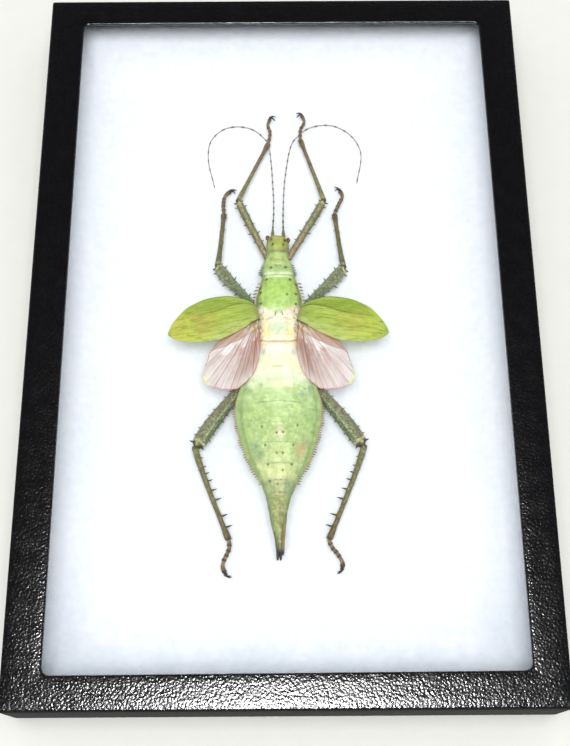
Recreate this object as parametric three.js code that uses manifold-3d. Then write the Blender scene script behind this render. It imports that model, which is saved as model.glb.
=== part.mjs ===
// A framed giant stick insect: a female Malayan jungle nymph, Heteropteryx dilatata, set with its back up and
// its short wings spread, on white batting in a flat black card case with a glass lid.
// Millimetres, +Z up. The origin is the centre of the case's underside, and +Y runs to the insect's head.
import * as THREE from "three";
import { mergeVertices } from "three/addons/utils/BufferGeometryUtils.js";
import Module from "manifold-3d";

const wasm = await Module();
wasm.setup();

// ---------------------------------------------------------------- driving dimensions

const GAP = 0.3; // clear space between pieces that touch

const CASE = { width: 206, length: 308, height: 30, card: 1.8 };
const BEZEL = { side: 14.8, end: 12.4, thickness: 2, corner: 3 };
// How far each corner of the hand-cut window is off, starting at the front right.
const WINDOW_SKEW = [[0, 0], [0, 0], [0, 0.5], [1.3, 1.2]];
const GLASS = { thickness: 2 };
const TRAY = { floor: 2, wall: 1.8 };
const SKIRT_LIFT = 1.5; // the lid's skirt stops this far above the table
const PIN = { head: 1.3, proud: 0.7, shank: 0.4, hole: 0.55, along: 84, up: 15 };
const PAD = { low: 9.8, high: 19, rimFrom: 0.76 };

const GLASS_TOP = CASE.height - BEZEL.thickness - GAP;
const GLASS_UNDER = GLASS_TOP - GLASS.thickness;

// The insect's own frame: x across, y to the head, from the joint of thorax and abdomen on the midline.
const INSECT_AT = [-2, -8];

const BODY_SIDES = 16;
const HEAD = { front: 49.3, back: 40.9, halfWidth: 4.85, level: 17.6, turned: 0.12 };
const EYE = { radius: 1.1, x: 4.65, y: 47.6, z: 18.6 };
const THORAX = { neck: 40.6, waist: 30.4, saddle: 12, rear: -1.6 };
const ABDOMEN = { rear: -70.6, beakTip: -89.4, keel: 18.4, top: 25.2, bottom: 10.4 };

// Each station of the trunk: [y, half width, height of the side edge, top, bottom].
const PRONOTUM = [
  [THORAX.neck, 4.55, 17.4, 20.8, 14.2],
  [38.8, 4.8, 17.3, 21.3, 13.7],
  [37.2, 5.75, 17.2, 21.7, 13.3],
  [34.5, 6.7, 17.1, 22.2, 12.8],
  [32.3, 7.5, 17.0, 22.5, 12.5],
  [THORAX.waist + GAP, 7.4, 17.0, 22.6, 12.4],
];
const MESOTHORAX = [
  [THORAX.waist, 7.1, 17.0, 22.5, 12.4],
  [24, 8.85, 17.2, 23.4, 12.0],
  [18.6, 10.05, 17.6, 23.8, 11.8],
  [THORAX.saddle + GAP, 9.2, 18.0, 23.2, 11.8],
];
const METATHORAX = [
  [THORAX.saddle, 8.8, 18.0, 22.8, 11.8],
  [5, 8.5, 18.0, 23.0, 11.8],
  [THORAX.rear + GAP, 8.6, 18.2, 22.8, 11.6],
];
// The abdomen's half width from its base to the root of the beak.
const ABDOMEN_WIDTHS = [
  [THORAX.rear, 8.6],
  [-11, 11.2],
  [-20, 15.8],
  [-29.5, 17.7],
  [-39.5, 16.1],
  [-51, 12.0],
  [-59, 7.5],
  [-64.5, 5.2],
  [ABDOMEN.rear, 3.75],
];
// Where one tergite ends and the next begins.
const TERGITE_LINES = [THORAX.rear, -10.8, -19.8, -27.3, -36, -44, -52.4, -58.9, -63.8, ABDOMEN.rear];

// Legs. A heading turns outwards from the head end, in degrees; each length has one heading.
// Heights are those of the leg's centre line at its hip, knee, ankle and claws.
// A femur bows outwards towards its knee, and a tibia just below it.
const FRONT = {
  levels: [14.2, 13.6, 12.2, 11.4],
  femur: { base: 1.35, swell: 1.65, knee: 1.6, flat: 0.9, bow: 0.3 },
  femurSpines: { from: 0.3, count: 5, size: 1.0, knee: 1.2, kneeLean: 0.4 },
  tibia: { shaft: 0.86, ankle: 1.15, bow: 0.1 },
  tibiaSpines: { inner: [0.3, 0.55, 0.75, 0.9], outer: [0.25, 0.6], size: 0.5, longest: 0.6 },
  tarsus: 0.82,
};
const MIDDLE = {
  levels: [14.2, 14.0, 12.2, 11.4],
  femur: { base: 1.1, swell: 2.5, knee: 2.25, flat: 0.85, bow: 0.9 },
  femurSpines: { from: 0.28, count: 6, size: 1.3, knee: 1.5, kneeLean: 0.4 },
  tibia: { shaft: 0.98, ankle: 1.2, bow: -0.3 },
  tibiaSpines: { inner: [0.2, 0.45, 0.7, 0.92], outer: [0.35, 0.65], size: 0.6, longest: 0.8 },
  tarsus: 0.95,
};
const HIND = {
  levels: [13.6, 14.0, 12.4, 11.4],
  femur: { base: 1.4, swell: 2.95, knee: 2.85, flat: 0.9, bow: 0.7 },
  femurSpines: { from: 0.3, count: 7, size: 1.4, knee: 2.2, kneeLean: 1.0 },
  tibia: { shaft: 1.05, ankle: 1.28, bow: 0.7 },
  tibiaSpines: {
    inner: [0.14, 0.23, 0.3, 0.38, 0.48, 0.585, 0.755, 0.865], outer: [0.1, 0.25, 0.42, 0.6, 0.8],
    size: 0.5, longest: 2.8,
  },
  tarsus: 0.98,
};
const LEGS = [
  {
    name: "leg_front_left", side: -1, form: FRONT, hip: [4, 39.4], femur: [32.4, 24.1], tibia: [32.4, -23.9],
    tarsus: [[6, -6.5], [3.7, 15.5], [4, -15]], claw: -106,
  },
  {
    name: "leg_front_right", side: 1, form: FRONT, hip: [4, 40], femur: [33.1, 28.7], tibia: [33, -17.4],
    tarsus: [[5.3, 3], [4.4, 22.5], [3.9, -17]], claw: -104,
  },
  {
    name: "leg_middle_left", side: -1, form: MIDDLE, hip: [8.2, 16.3], femur: [27.8, 39.5], tibia: [25.8, -5.3],
    tarsus: [[4.5, 3.8], [4.5, -9], [3.2, -41]], claw: -110,
  },
  {
    name: "leg_middle_right", side: 1, form: MIDDLE, hip: [8.5, 15.9], femur: [28.4, 43], tibia: [26.5, -7.2],
    tarsus: [[5, 22], [4.8, 21.5], [2.9, -19]], claw: -76,
  },
  {
    name: "leg_hind_left", side: -1, form: HIND, hip: [5.5, -4], femur: [48.3, 144.7], tibia: [39.7, 200.1],
    tarsus: [[2.8, 182.8], [2.8, 159.7], [2.8, 155], [2.3, 172], [2.5, 203]], claw: 254,
  },
  {
    name: "leg_hind_right", side: 1, form: HIND, hip: [5, -4.5], femur: [48.2, 143.3], tibia: [40.2, 201.1],
    tarsus: [[3.2, 158], [2.3, 139.4], [2.6, 145.2], [2.4, 155.8], [1.7, 186.3]], claw: 237,
  },
];

// Feelers: a stout base, then a thread that lies on the batting and curls outwards. Points are [out, y].
const FEELER = { base: 0.6, near: 0.32, far: 0.26, rootLevel: 17.2, lieLevel: 10.25, rootY: 50.3, baseY: 53.2 };
const FEELERS = [
  {
    name: "left", side: -1, near: [[1.8, 64.5], [2.3, 79], [3.7, 96.3]],
    far: [[5.1, 101.1], [12.5, 107.6], [22.7, 107.9], [29.5, 101.9], [31, 92.7], [27.9, 77.5]],
  },
  {
    name: "right", side: 1, near: [[2.2, 61.4], [3.2, 82], [6.5, 100]],
    far: [[9, 103.3], [14.4, 107.8], [24.2, 108.9], [32.4, 104], [37, 95], [34.8, 78.9]],
  },
];

// Wings. The leathery fore wing is a leaf; the hind wing is a pleated fan.
const FORE_WING = { root: 8.5, tip: 45.1, thickness: 0.6, level: 22.4, camber: 1.4, droop: 1.8 };
const FORE_WINGS = [["left", -1, 13, 3.2], ["right", 1, 12.3, 3.5]]; // each one's y at its root and tip
// The leaf's stations: [share of its length, leading edge, trailing edge], off the line from root to tip.
const LEAF = [
  [0, 2.6, -4.0], [0.12, 6.6, -5.0], [0.3, 9.9, -6.9], [0.5, 10.75, -8.0],
  [0.7, 9.5, -6.9], [0.85, 6.4, -4.9], [0.95, 3.1, -2.9], [1, 0.8, -0.9],
];
const HIND_WING = { root: [8.8, 10.6], thickness: 0.5, level: 21.2, pleat: 0.35, pleats: 7, innerRise: 1.4 };
// The fan's rim: [degrees from straight out towards the tail, length of the wing there].
const HIND_WING_RIM = [
  [24, 8], [31, 15.5], [35, 21.5], [44.5, 29.3], [50.7, 34.9], [54, 35.8], [66, 34.8],
  [74, 33.2], [80, 30.2], [87, 25.2], [93, 17], [97, 9],
];

// ---------------------------------------------------------------- materials

const paint = (color, roughness, more = {}) =>
  new THREE.MeshStandardMaterial({ color, roughness, metalness: 0, ...more });
const MATERIAL = {
  card: paint("#17171a", 0.45),
  glass: paint("#f4faf8", 0.05, { transparent: true, opacity: 0.2 }),
  batting: paint("#f1f4fa", 0.95),
  steel: paint("#b9bcc0", 0.3, { metalness: 1 }),
  head: paint("#a8b25c", 0.5),
  thorax: paint("#9cc474", 0.5),
  saddle: paint("#dfc9a4", 0.55),
  abdomen: paint("#b3cc8a", 0.5),
  beak: paint("#8e9c5c", 0.5),
  leg: paint("#84805c", 0.5),
  claw: paint("#3d2d2a", 0.35),
  eye: paint("#5d3322", 0.25),
  feeler: paint("#776760", 0.5),
  foreWing: paint("#a3c13f", 0.5),
  hindWing: paint("#dca9a6", 0.4, { transparent: true, opacity: 0.7 }),
};

// ---------------------------------------------------------------- solids

// A closed geometry as a solid, turned the right way out.
function solidOf(geometry) {
  const bare = geometry.index ? geometry.clone() : mergeVertices(geometry, 1e-4);
  bare.deleteAttribute("normal");
  bare.deleteAttribute("uv");
  const merged = mergeVertices(bare, 1e-4);
  const vertProperties = new Float32Array(merged.attributes.position.array);
  const triVerts = new Uint32Array(merged.index.array);
  const made = new wasm.Manifold(new wasm.Mesh({ numProp: 3, vertProperties, triVerts }));
  if (made.volume() > 0) return made;
  return new wasm.Manifold(new wasm.Mesh({ numProp: 3, vertProperties, triVerts: triVerts.reverse() }));
}

function geometryOf(solid) {
  const mesh = solid.getMesh();
  const geometry = new THREE.BufferGeometry();
  geometry.setAttribute("position", new THREE.BufferAttribute(new Float32Array(mesh.vertProperties), 3));
  geometry.setIndex(new THREE.BufferAttribute(new Uint32Array(mesh.triVerts), 1));
  geometry.computeVertexNormals();
  return geometry;
}

const joined = (first, ...rest) => rest.reduce((sum, solid) => sum.add(solid), first);
const without = (first, ...cuts) => cuts.reduce((left, cut) => left.subtract(cut), first);
const largestBody = (solid) => solid.decompose().reduce((a, b) => (b.volume() > a.volume() ? b : a));

// A block between two corners.
function block(low, high) {
  const size = high.map((value, axis) => value - low[axis]);
  const middle = high.map((value, axis) => (value + low[axis]) / 2);
  return solidOf(new THREE.BoxGeometry(...size).translate(...middle));
}

// A cylinder's rings, each put where its station says. place(index, across, up) gives a ring point, where
// across and up run from -1 to 1 round the ring.
function ringed(rings, sides, place) {
  const geometry = new THREE.CylinderGeometry(1, 1, 1, sides, rings - 1);
  const position = geometry.attributes.position;
  for (let i = 0; i < position.count; i++) {
    const index = Math.round((0.5 - position.getY(i)) * (rings - 1));
    const point = place(index, position.getX(i), position.getZ(i));
    position.setXYZ(i, point.x, point.y, point.z);
  }
  return solidOf(geometry);
}

// A trunk section through stations of [y, half width, edge level, top, bottom, how far it is turned], grown
// outwards by extra.
const DOME = 1.35; // over 1 draws the section in towards a keel at its sides
function trunk(stations, extra = 0) {
  return ringed(stations.length, BODY_SIDES, (index, across, up) => {
    const [y, halfWidth, edge, top, bottom, turned = 0] = stations[index];
    const reach = up > 0 ? top - edge + extra : edge - bottom + extra;
    const end = index === 0 ? extra : index === stations.length - 1 ? -extra : 0;
    const z = edge + Math.sign(up) * Math.abs(up) ** DOME * reach;
    const x = across * (halfWidth + extra);
    return new THREE.Vector3(x, y + end - x * turned, z);
  });
}

// A limb along a path of points, with a half width for each, flattened by flat.
const UP = new THREE.Vector3(0, 0, 1);
function limb(points, halfWidths, sides = 6, flat = 1) {
  const directions = points.map((point, i) => {
    const before = points[Math.max(i - 1, 0)];
    const after = points[Math.min(i + 1, points.length - 1)];
    return after.clone().sub(before).normalize();
  });
  return ringed(points.length, sides, (index, across, up) => {
    const sideways = directions[index].clone().cross(UP).normalize();
    const upwards = sideways.clone().cross(directions[index]);
    return points[index]
      .clone()
      .addScaledVector(sideways, across * halfWidths[index])
      .addScaledVector(upwards, up * halfWidths[index] * flat);
  });
}

// A spine: a small pyramid sunk a little into what it grows from.
function spine(foot, direction, length, radius = length * 0.3, sides = 3) {
  const sunk = radius * 1.2;
  const cone = new THREE.ConeGeometry(radius, length + sunk, sides).translate(0, (length - sunk) / 2, 0);
  const along = direction.clone().normalize();
  const turn = new THREE.Quaternion().setFromUnitVectors(new THREE.Vector3(0, 1, 0), along);
  return solidOf(cone.applyQuaternion(turn).translate(foot.x, foot.y, foot.z));
}

function ball(radius, centre, stretch = [1, 1, 1], around = 8, down = 6) {
  return solidOf(new THREE.SphereGeometry(radius, around, down).scale(...stretch).translate(...centre));
}

// Linear reading of a table of [key, value] rows whose keys fall or rise steadily.
function read(rows, key) {
  const rising = rows.at(-1)[0] > rows[0][0];
  const next = rows.findIndex((row) => (rising ? row[0] >= key : row[0] <= key));
  if (next < 1) return next === 0 ? rows[0][1] : rows.at(-1)[1];
  const [[k0, v0], [k1, v1]] = [rows[next - 1], rows[next]];
  return v0 + ((v1 - v0) * (key - k0)) / (k1 - k0);
}

// ---------------------------------------------------------------- assembly

const model = new THREE.Group();
const insect = new THREE.Group();
insect.position.set(...INSECT_AT, 0);
model.add(insect);

function put(group, name, solid, material) {
  const mesh = new THREE.Mesh(geometryOf(solid), material);
  mesh.name = name;
  group.add(mesh);
}

// ---------------------------------------------------------------- the case

// A rectangle with round corners, each moved by its own skew.
function roundedRectangle(width, length, radius, skews) {
  const shape = new THREE.Shape();
  [[1, 1], [-1, 1], [-1, -1], [1, -1]].forEach(([right, front], quarter) => {
    const x = right * (width / 2 - radius) + skews[quarter][0];
    const y = front * (length / 2 - radius) + skews[quarter][1];
    shape.absarc(x, y, radius, (quarter * Math.PI) / 2, ((quarter + 1) * Math.PI) / 2);
  });
  return shape;
}

function centredBlock(width, length, low, high) {
  return block([-width / 2, -length / 2, low], [width / 2, length / 2, high]);
}

const trayWidth = CASE.width - 2 * (CASE.card + GAP);
const trayLength = CASE.length - 2 * (CASE.card + GAP);
const pinPlaces = [-1, 1].flatMap((side) => [-1, 1].map((end) => [side, end]));

// A round bar across a side wall, from the tray's inner face out to a given distance from the case's middle.
function wallBar([side, end], radius, outer) {
  const inner = CASE.width / 2 - CASE.card - GAP - TRAY.wall;
  return solidOf(
    new THREE.CylinderGeometry(radius, radius, outer - inner, 8)
      .rotateZ(Math.PI / 2)
      .translate((side * (inner + outer)) / 2, end * PIN.along, PIN.up),
  );
}

const pinHole = (place) => wallBar(place, PIN.hole, CASE.width / 2 + 1);

// A pin pushed in through skirt and tray from the side, with a low domed head that stops on the skirt.
function pin(place) {
  const [side, end] = place;
  const face = CASE.width / 2 + 0.05;
  const profile = [[0, 0], [PIN.head, 0], [PIN.head * 0.8, PIN.proud * 0.7], [0, PIN.proud]];
  const head = new THREE.LatheGeometry(profile.map(([r, h]) => new THREE.Vector2(r, h)), 8)
    .rotateZ(side * -Math.PI / 2)
    .translate(side * face, end * PIN.along, PIN.up);
  return joined(solidOf(head), wallBar(place, PIN.shank, face + PIN.proud / 2));
}

function caseTray() {
  const outside = centredBlock(trayWidth, trayLength, 0, GLASS_UNDER - GAP);
  const inside = centredBlock(trayWidth - 2 * TRAY.wall, trayLength - 2 * TRAY.wall, TRAY.floor, CASE.height);
  return without(outside, inside, ...pinPlaces.map(pinHole));
}

function caseLid() {
  const outside = centredBlock(CASE.width, CASE.length, SKIRT_LIFT, CASE.height);
  const skirtWidth = CASE.width - 2 * CASE.card;
  const skirtLength = CASE.length - 2 * CASE.card;
  const inside = centredBlock(skirtWidth, skirtLength, 0, CASE.height - BEZEL.thickness);
  const [windowWidth, windowLength] = [CASE.width - 2 * BEZEL.side, CASE.length - 2 * BEZEL.end];
  const window = roundedRectangle(windowWidth, windowLength, BEZEL.corner, WINDOW_SKEW);
  const hole = new THREE.ExtrudeGeometry(window, { depth: CASE.height, bevelEnabled: false, curveSegments: 4 });
  return without(outside, inside, solidOf(hole), ...pinPlaces.map(pinHole));
}

// The batting fills the tray: low under the insect, and puffed up towards the walls.
function battingTop(x, y, width, length) {
  const out = Math.max(Math.abs(x) / (width / 2), Math.abs(y) / (length / 2));
  return PAD.low + (PAD.high - PAD.low) * THREE.MathUtils.smoothstep(out, PAD.rimFrom, 1);
}

function batting() {
  const width = trayWidth - 2 * (TRAY.wall + GAP);
  const length = trayLength - 2 * (TRAY.wall + GAP);
  const geometry = new THREE.BoxGeometry(2, 2, 1, 10, 10, 1);
  const position = geometry.attributes.position;
  const towardsRim = (share) => Math.sign(share) * Math.abs(share) ** 0.5;
  for (let i = 0; i < position.count; i++) {
    const x = (towardsRim(position.getX(i)) * width) / 2;
    const y = (towardsRim(position.getY(i)) * length) / 2;
    const top = position.getZ(i) > 0;
    position.setXYZ(i, x, y, top ? battingTop(x, y, width, length) : TRAY.floor + GAP);
  }
  return solidOf(geometry);
}

put(model, "case_tray", caseTray(), MATERIAL.card);
put(model, "case_lid", caseLid(), MATERIAL.card);
put(model, "case_glass", centredBlock(trayWidth, trayLength, GLASS_UNDER, GLASS_TOP), MATERIAL.glass);
put(model, "case_batting", batting(), MATERIAL.batting);
for (const place of pinPlaces) {
  const name = `case_pin_${place[0] < 0 ? "left" : "right"}_${place[1] < 0 ? "rear" : "front"}`;
  put(model, name, pin(place), MATERIAL.steel);
}

// ---------------------------------------------------------------- head and thorax

const at = (x, y, z) => new THREE.Vector3(x, y, z);

// Station list of the head, from its blunt brow to the neck.
const HEAD_STATIONS = [
  [HEAD.front, HEAD.halfWidth * 0.74, HEAD.level, HEAD.level + 1.9, HEAD.level - 2.2, HEAD.turned],
  [HEAD.front - 1, HEAD.halfWidth * 0.86, HEAD.level, HEAD.level + 3.0, HEAD.level - 3.4, HEAD.turned],
  [46.6, HEAD.halfWidth * 0.98, HEAD.level, HEAD.level + 3.7, HEAD.level - 4.2, HEAD.turned],
  [43.6, HEAD.halfWidth, HEAD.level, HEAD.level + 3.9, HEAD.level - 4.2, HEAD.turned / 2],
  [HEAD.back, HEAD.halfWidth, HEAD.level, HEAD.level + 3.3, HEAD.level - 3.6],
];

// Height of a trunk's back at x, y, from its stations.
function backHeight(stations, x, y) {
  const value = (column) => read(stations.map((row) => [row[0], row[column]]), y);
  const up = Math.sqrt(Math.max(0, 1 - (x / value(1)) ** 2));
  return value(2) + up ** DOME * (value(3) - value(2));
}

// Pairs of spines standing on a back, at [x, y] either side of the midline.
function backSpines(stations, places, length) {
  return places.flatMap(([x, y]) =>
    [-1, 1].map((side) => {
      const foot = at(side * x, y, backHeight(stations, x, y) - 0.1);
      return spine(foot, at(side * 0.35, -0.5, 1), length);
    }),
  );
}

// Spines along both side edges of a trunk, from y0 to y1.
function edgeSpines(stations, y0, y1, count, length) {
  const width = stations.map((row) => [row[0], row[1]]);
  const edge = stations.map((row) => [row[0], row[2]]);
  return Array.from({ length: count }, (_, i) => y0 + ((y1 - y0) * (i + 0.5)) / count).flatMap((y) =>
    [-1, 1].map((side) => {
      const foot = at(side * (read(width, y) - 0.1), y, read(edge, y));
      return spine(foot, at(side, 0.15, 0), length);
    }),
  );
}

function eyeBall(side, extra) {
  return ball(EYE.radius + extra, [side * EYE.x, EYE.y - side * EYE.x * HEAD.turned, EYE.z], [0.8, 1, 1]);
}
const headSpines = backSpines(HEAD_STATIONS, [[2.2, 43.9], [2.8, 46.2]], 0.8);
const headShell = joined(trunk(HEAD_STATIONS), ...headSpines);
put(insect, "head", without(headShell, eyeBall(-1, GAP), eyeBall(1, GAP)), MATERIAL.head);
put(insect, "eye_left", eyeBall(-1, 0), MATERIAL.eye);
put(insect, "eye_right", eyeBall(1, 0), MATERIAL.eye);

const pronotum = joined(
  trunk(PRONOTUM),
  ...backSpines(PRONOTUM, [[3.05, 32.8]], 0.8),
  ...edgeSpines(PRONOTUM, 36.5, 31.8, 2, 0.9),
);
const mesothorax = joined(
  trunk(MESOTHORAX),
  ...backSpines(MESOTHORAX, [[4.9, 27.3], [7.4, 25.2], [7.3, 21.1], [7.2, 16.3]], 0.9),
  ...edgeSpines(MESOTHORAX, 29, 17, 6, 1.2),
);
const metathorax = joined(trunk(METATHORAX), ...backSpines(METATHORAX, [[1.35, 10.6]], 0.8));
put(insect, "pronotum", pronotum, MATERIAL.thorax);
put(insect, "mesothorax", mesothorax, MATERIAL.thorax);
put(insect, "metathorax", metathorax, MATERIAL.saddle);

// ---------------------------------------------------------------- abdomen

const widthCurve = new THREE.SplineCurve(ABDOMEN_WIDTHS.map(([y, width]) => new THREE.Vector2(y, width)));
const widthTable = widthCurve.getPoints(60).map((point) => [point.x, point.y]);

const broadest = ABDOMEN_WIDTHS.reduce((most, [, width]) => Math.max(most, width), 0);

// The abdomen is as full as it is wide: deep across its broad part, and thin at both ends.
function abdomenStation(y) {
  const halfWidth = read(widthTable, y);
  const full = Math.sqrt(halfWidth / broadest);
  const top = ABDOMEN.keel + (ABDOMEN.top - ABDOMEN.keel) * full;
  const bottom = ABDOMEN.keel - (ABDOMEN.keel - ABDOMEN.bottom) * full;
  return [y, halfWidth, ABDOMEN.keel, top, bottom];
}

function stationsBetween(front, rear, count) {
  const yAt = (i) => THREE.MathUtils.lerp(front, rear, i / (count - 1));
  return Array.from({ length: count }, (_, i) => abdomenStation(yAt(i)));
}

// ---------------------------------------------------------------- legs

// A point on the plan, out from the midline and along it, turned by a heading.
function step(from, side, length, heading, level) {
  const turn = THREE.MathUtils.degToRad(heading);
  return at(from.x + side * length * Math.sin(turn), from.y + length * Math.cos(turn), level);
}

function legJoints(leg) {
  const [hipLevel, kneeLevel, ankleLevel, clawLevel] = leg.form.levels;
  const hip = at(leg.side * leg.hip[0], leg.hip[1], hipLevel);
  const knee = step(hip, leg.side, ...leg.femur, kneeLevel);
  const ankle = step(knee, leg.side, ...leg.tibia, ankleLevel);
  const foot = [ankle];
  leg.tarsus.forEach(([length, heading], i) => {
    const level = THREE.MathUtils.lerp(ankleLevel, clawLevel, (i + 1) / leg.tarsus.length);
    foot.push(step(foot.at(-1), leg.side, length, heading, level));
  });
  return { hip, knee, ankle, foot };
}

const between = (a, b, share) => a.clone().lerp(b, share);

// A limb's line: its points, half widths, number of sides and flatness. The line bows out from the body, most
// at a share of its length that early moves: under 1 towards its start, over 1 towards its end.
function lineOf(side, start, end, shape, { sides, flat = 1, bow = 0, early = 1 }) {
  const sideways = end.clone().sub(start).cross(UP).normalize();
  const outward = side * sideways.x > 0 ? 1 : -1;
  const points = shape.map(([share]) => {
    const off = outward * bow * Math.sin(Math.PI * share ** early);
    return between(start, end, share).addScaledVector(sideways, off);
  });
  const [shares, widths] = [0, 1].map((column) => shape.map((row) => row[column]));
  return { points, shares, widths, sides, flat, outward };
}

// Spines standing out from one edge of a line, at shares of its length. edge is 1 for the outer side.
function spineRow(line, shares, edge, size, lean) {
  return shares.map((share) => {
    const next = Math.max(1, line.shares.findIndex((reached) => reached >= share));
    const [from, to] = [line.shares[next - 1], line.shares[next]];
    const part = (share - from) / (to - from);
    const along = line.points[next].clone().sub(line.points[next - 1]).normalize();
    const sideways = along.clone().cross(UP).normalize().multiplyScalar(line.outward * edge);
    const half = THREE.MathUtils.lerp(line.widths[next - 1], line.widths[next], part);
    const foot = between(line.points[next - 1], line.points[next], part).addScaledVector(sideways, half * 0.94);
    const length = typeof size === "function" ? size(share) : size;
    return spine(foot, sideways.addScaledVector(along, lean), length, 0.16 + length * 0.12);
  });
}

const evenly = (from, to, count) => Array.from({ length: count }, (_, i) => from + ((to - from) * i) / (count - 1));
const limbOf = (line) => limb(line.points, line.widths, line.sides, line.flat);

// The same limb grown by the clear space all round, to cut its neighbours with.
function sleeveOf({ points, widths, sides, flat }) {
  const grown = points.slice();
  const pastEnd = (end, inner) => end.clone().add(end.clone().sub(inner).setLength(GAP));
  grown[0] = pastEnd(points[0], points[1]);
  grown[grown.length - 1] = pastEnd(points.at(-1), points.at(-2));
  return limb(grown, widths.map((width) => width + GAP / flat), sides, flat);
}

function femurLine(leg, joints) {
  const { base, swell, knee, flat, bow } = leg.form.femur;
  const grown = (share) => THREE.MathUtils.lerp(base, swell, share);
  const shape = [[0, base], [0.3, grown(0.32)], [0.5, grown(0.6)], [0.8, swell], [0.93, knee], [1, knee * 0.4]];
  return lineOf(leg.side, joints.hip, joints.knee, shape, { sides: leg.form === HIND ? 8 : 6, flat, bow, early: 2 });
}

function femur(leg, joints) {
  const { from, count, size, knee, kneeLean } = leg.form.femurSpines;
  const line = femurLine(leg, joints);
  return joined(
    limbOf(line),
    ...spineRow(line, evenly(from, 0.88, count), 1, size, 0.35),
    ...spineRow(line, evenly(from, 0.86, count), -1, size, 0.35),
    ...spineRow(line, [0.95], 1, knee, kneeLean),
    ...spineRow(line, [0.95], -1, knee * 0.7, 0.35),
  );
}

function tibiaLine(leg, joints) {
  const { shaft, ankle, bow } = leg.form.tibia;
  const start = between(joints.knee, joints.ankle, 0.5 / leg.tibia[0]);
  const shape = [[0, shaft * 1.2], [0.1, shaft * 1.2], [0.3, shaft], [0.82, shaft * 0.9], [1, ankle]];
  return lineOf(leg.side, start, joints.ankle, shape, { sides: 6, bow, early: 0.6 });
}

function tibia(leg, joints) {
  const { inner, outer, size, longest } = leg.form.tibiaSpines;
  const line = tibiaLine(leg, joints);
  const growing = (share) => longest * Math.min(1, 0.2 + 1.35 * share);
  return joined(
    limbOf(line),
    ...spineRow(line, inner, -1, growing, 0.05),
    ...spineRow(line, outer, 1, size, 0.3),
    ...spineRow(line, [0.985], -1, 0.9, 0.6),
  );
}

// Five short joints, each swelling towards its end, along the foot's curve.
const TARSUS_JOINTS = [0, 0.22, 0.38, 0.52, 0.66, 1];
function tarsusLine(leg, joints) {
  const start = between(joints.foot[0], joints.foot[1], 0.2 / leg.tarsus[0][0]);
  const curve = new THREE.CatmullRomCurve3([start, ...joints.foot.slice(1)]);
  const rings = TARSUS_JOINTS.slice(0, -1).flatMap((from, i) => [
    [from + (i ? 0.01 : 0), 0.78],
    [TARSUS_JOINTS[i + 1] - (i < 4 ? 0.02 : 0), 1.1],
  ]);
  const points = rings.map(([share]) => curve.getPointAt(share));
  return { points, widths: rings.map((row) => row[1] * leg.form.tarsus), sides: 5, flat: 0.9 };
}

// Two curved hooks on one small pad.
function claws(leg, joints) {
  const root = joints.foot.at(-1);
  const before = joints.foot.at(-2);
  const onward = root.clone().sub(before).normalize();
  const turn = THREE.MathUtils.degToRad(leg.claw);
  const aim = at(leg.side * Math.sin(turn), Math.cos(turn), 0);
  const size = leg.form.tarsus;
  const pad = ball(size * 0.85, root.clone().addScaledVector(onward, size * 0.95).toArray(), [1, 1, 0.9], 6, 4);
  const hooks = [-1, 1].map((fork) => {
    const start = root.clone().addScaledVector(onward, size);
    const crook = root.clone().addScaledVector(onward, 1.5 + fork * 0.35).addScaledVector(aim, 1.0);
    const tip = root.clone().addScaledVector(aim, 2.5).addScaledVector(onward, 0.5 + fork * 0.5);
    crook.z += fork * 0.45;
    tip.z += fork * 0.8 - 0.3;
    return limb(new THREE.QuadraticBezierCurve3(start, crook, tip).getPoints(2), [0.4, 0.34, 0.1], 4);
  });
  return joined(pad, ...hooks);
}

// ---------------------------------------------------------------- wings

// The fore wing is a leaf: a thin sheet between its two edges, bowed across.
function foreWing(side, rootY, tipY) {
  const rootX = FORE_WING.root;
  const axis = new THREE.Vector2(FORE_WING.tip - rootX, tipY - rootY);
  const span = axis.length();
  axis.normalize();
  const leading = LEAF.map((row) => [row[0], row[1]]);
  const trailing = LEAF.map((row) => [row[0], -row[2]]);
  const geometry = new THREE.BoxGeometry(1, 1, FORE_WING.thickness, 10, 4, 1);
  const position = geometry.attributes.position;
  for (let i = 0; i < position.count; i++) {
    const along = position.getX(i) + 0.5;
    const share = along - 0.1 * Math.sin(2 * Math.PI * along);
    const across = position.getY(i) * 2;
    const off = across * read(across > 0 ? leading : trailing, share);
    const x = rootX + axis.x * span * share - axis.y * off;
    const y = rootY + axis.y * span * share + axis.x * off;
    const lift = FORE_WING.camber * (1 - across ** 2) * Math.sin(Math.PI * share) - FORE_WING.droop * share;
    position.setXYZ(i, side * x, y, FORE_WING.level + lift + position.getZ(i));
  }
  return solidOf(geometry);
}

// The hind wing is a fan of pleats from its root.
function hindWing(side) {
  const [rootX, rootY] = HIND_WING.root;
  const [first, last] = [HIND_WING_RIM[0][0], HIND_WING_RIM.at(-1)[0]];
  const folds = HIND_WING.pleats * 2;
  const geometry = new THREE.BoxGeometry(1, 1, HIND_WING.thickness, folds, 3, 1);
  const position = geometry.attributes.position;
  for (let i = 0; i < position.count; i++) {
    const turn = position.getX(i) + 0.5;
    const share = 0.08 + 0.92 * (position.getY(i) + 0.5);
    const degrees = THREE.MathUtils.lerp(first, last, turn);
    const reach = read(HIND_WING_RIM, degrees) * share;
    const angle = THREE.MathUtils.degToRad(degrees);
    const fold = Math.round(turn * folds) % 2 ? 1 : -1;
    const level = HIND_WING.level - 2.2 * (1 - turn) * share + HIND_WING.innerRise * turn * share;
    const z = level + fold * HIND_WING.pleat * share + position.getZ(i);
    position.setXYZ(i, side * (rootX + reach * Math.cos(angle)), rootY - reach * Math.sin(angle), z);
  }
  return solidOf(geometry);
}

// ---------------------------------------------------------------- feelers

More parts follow.
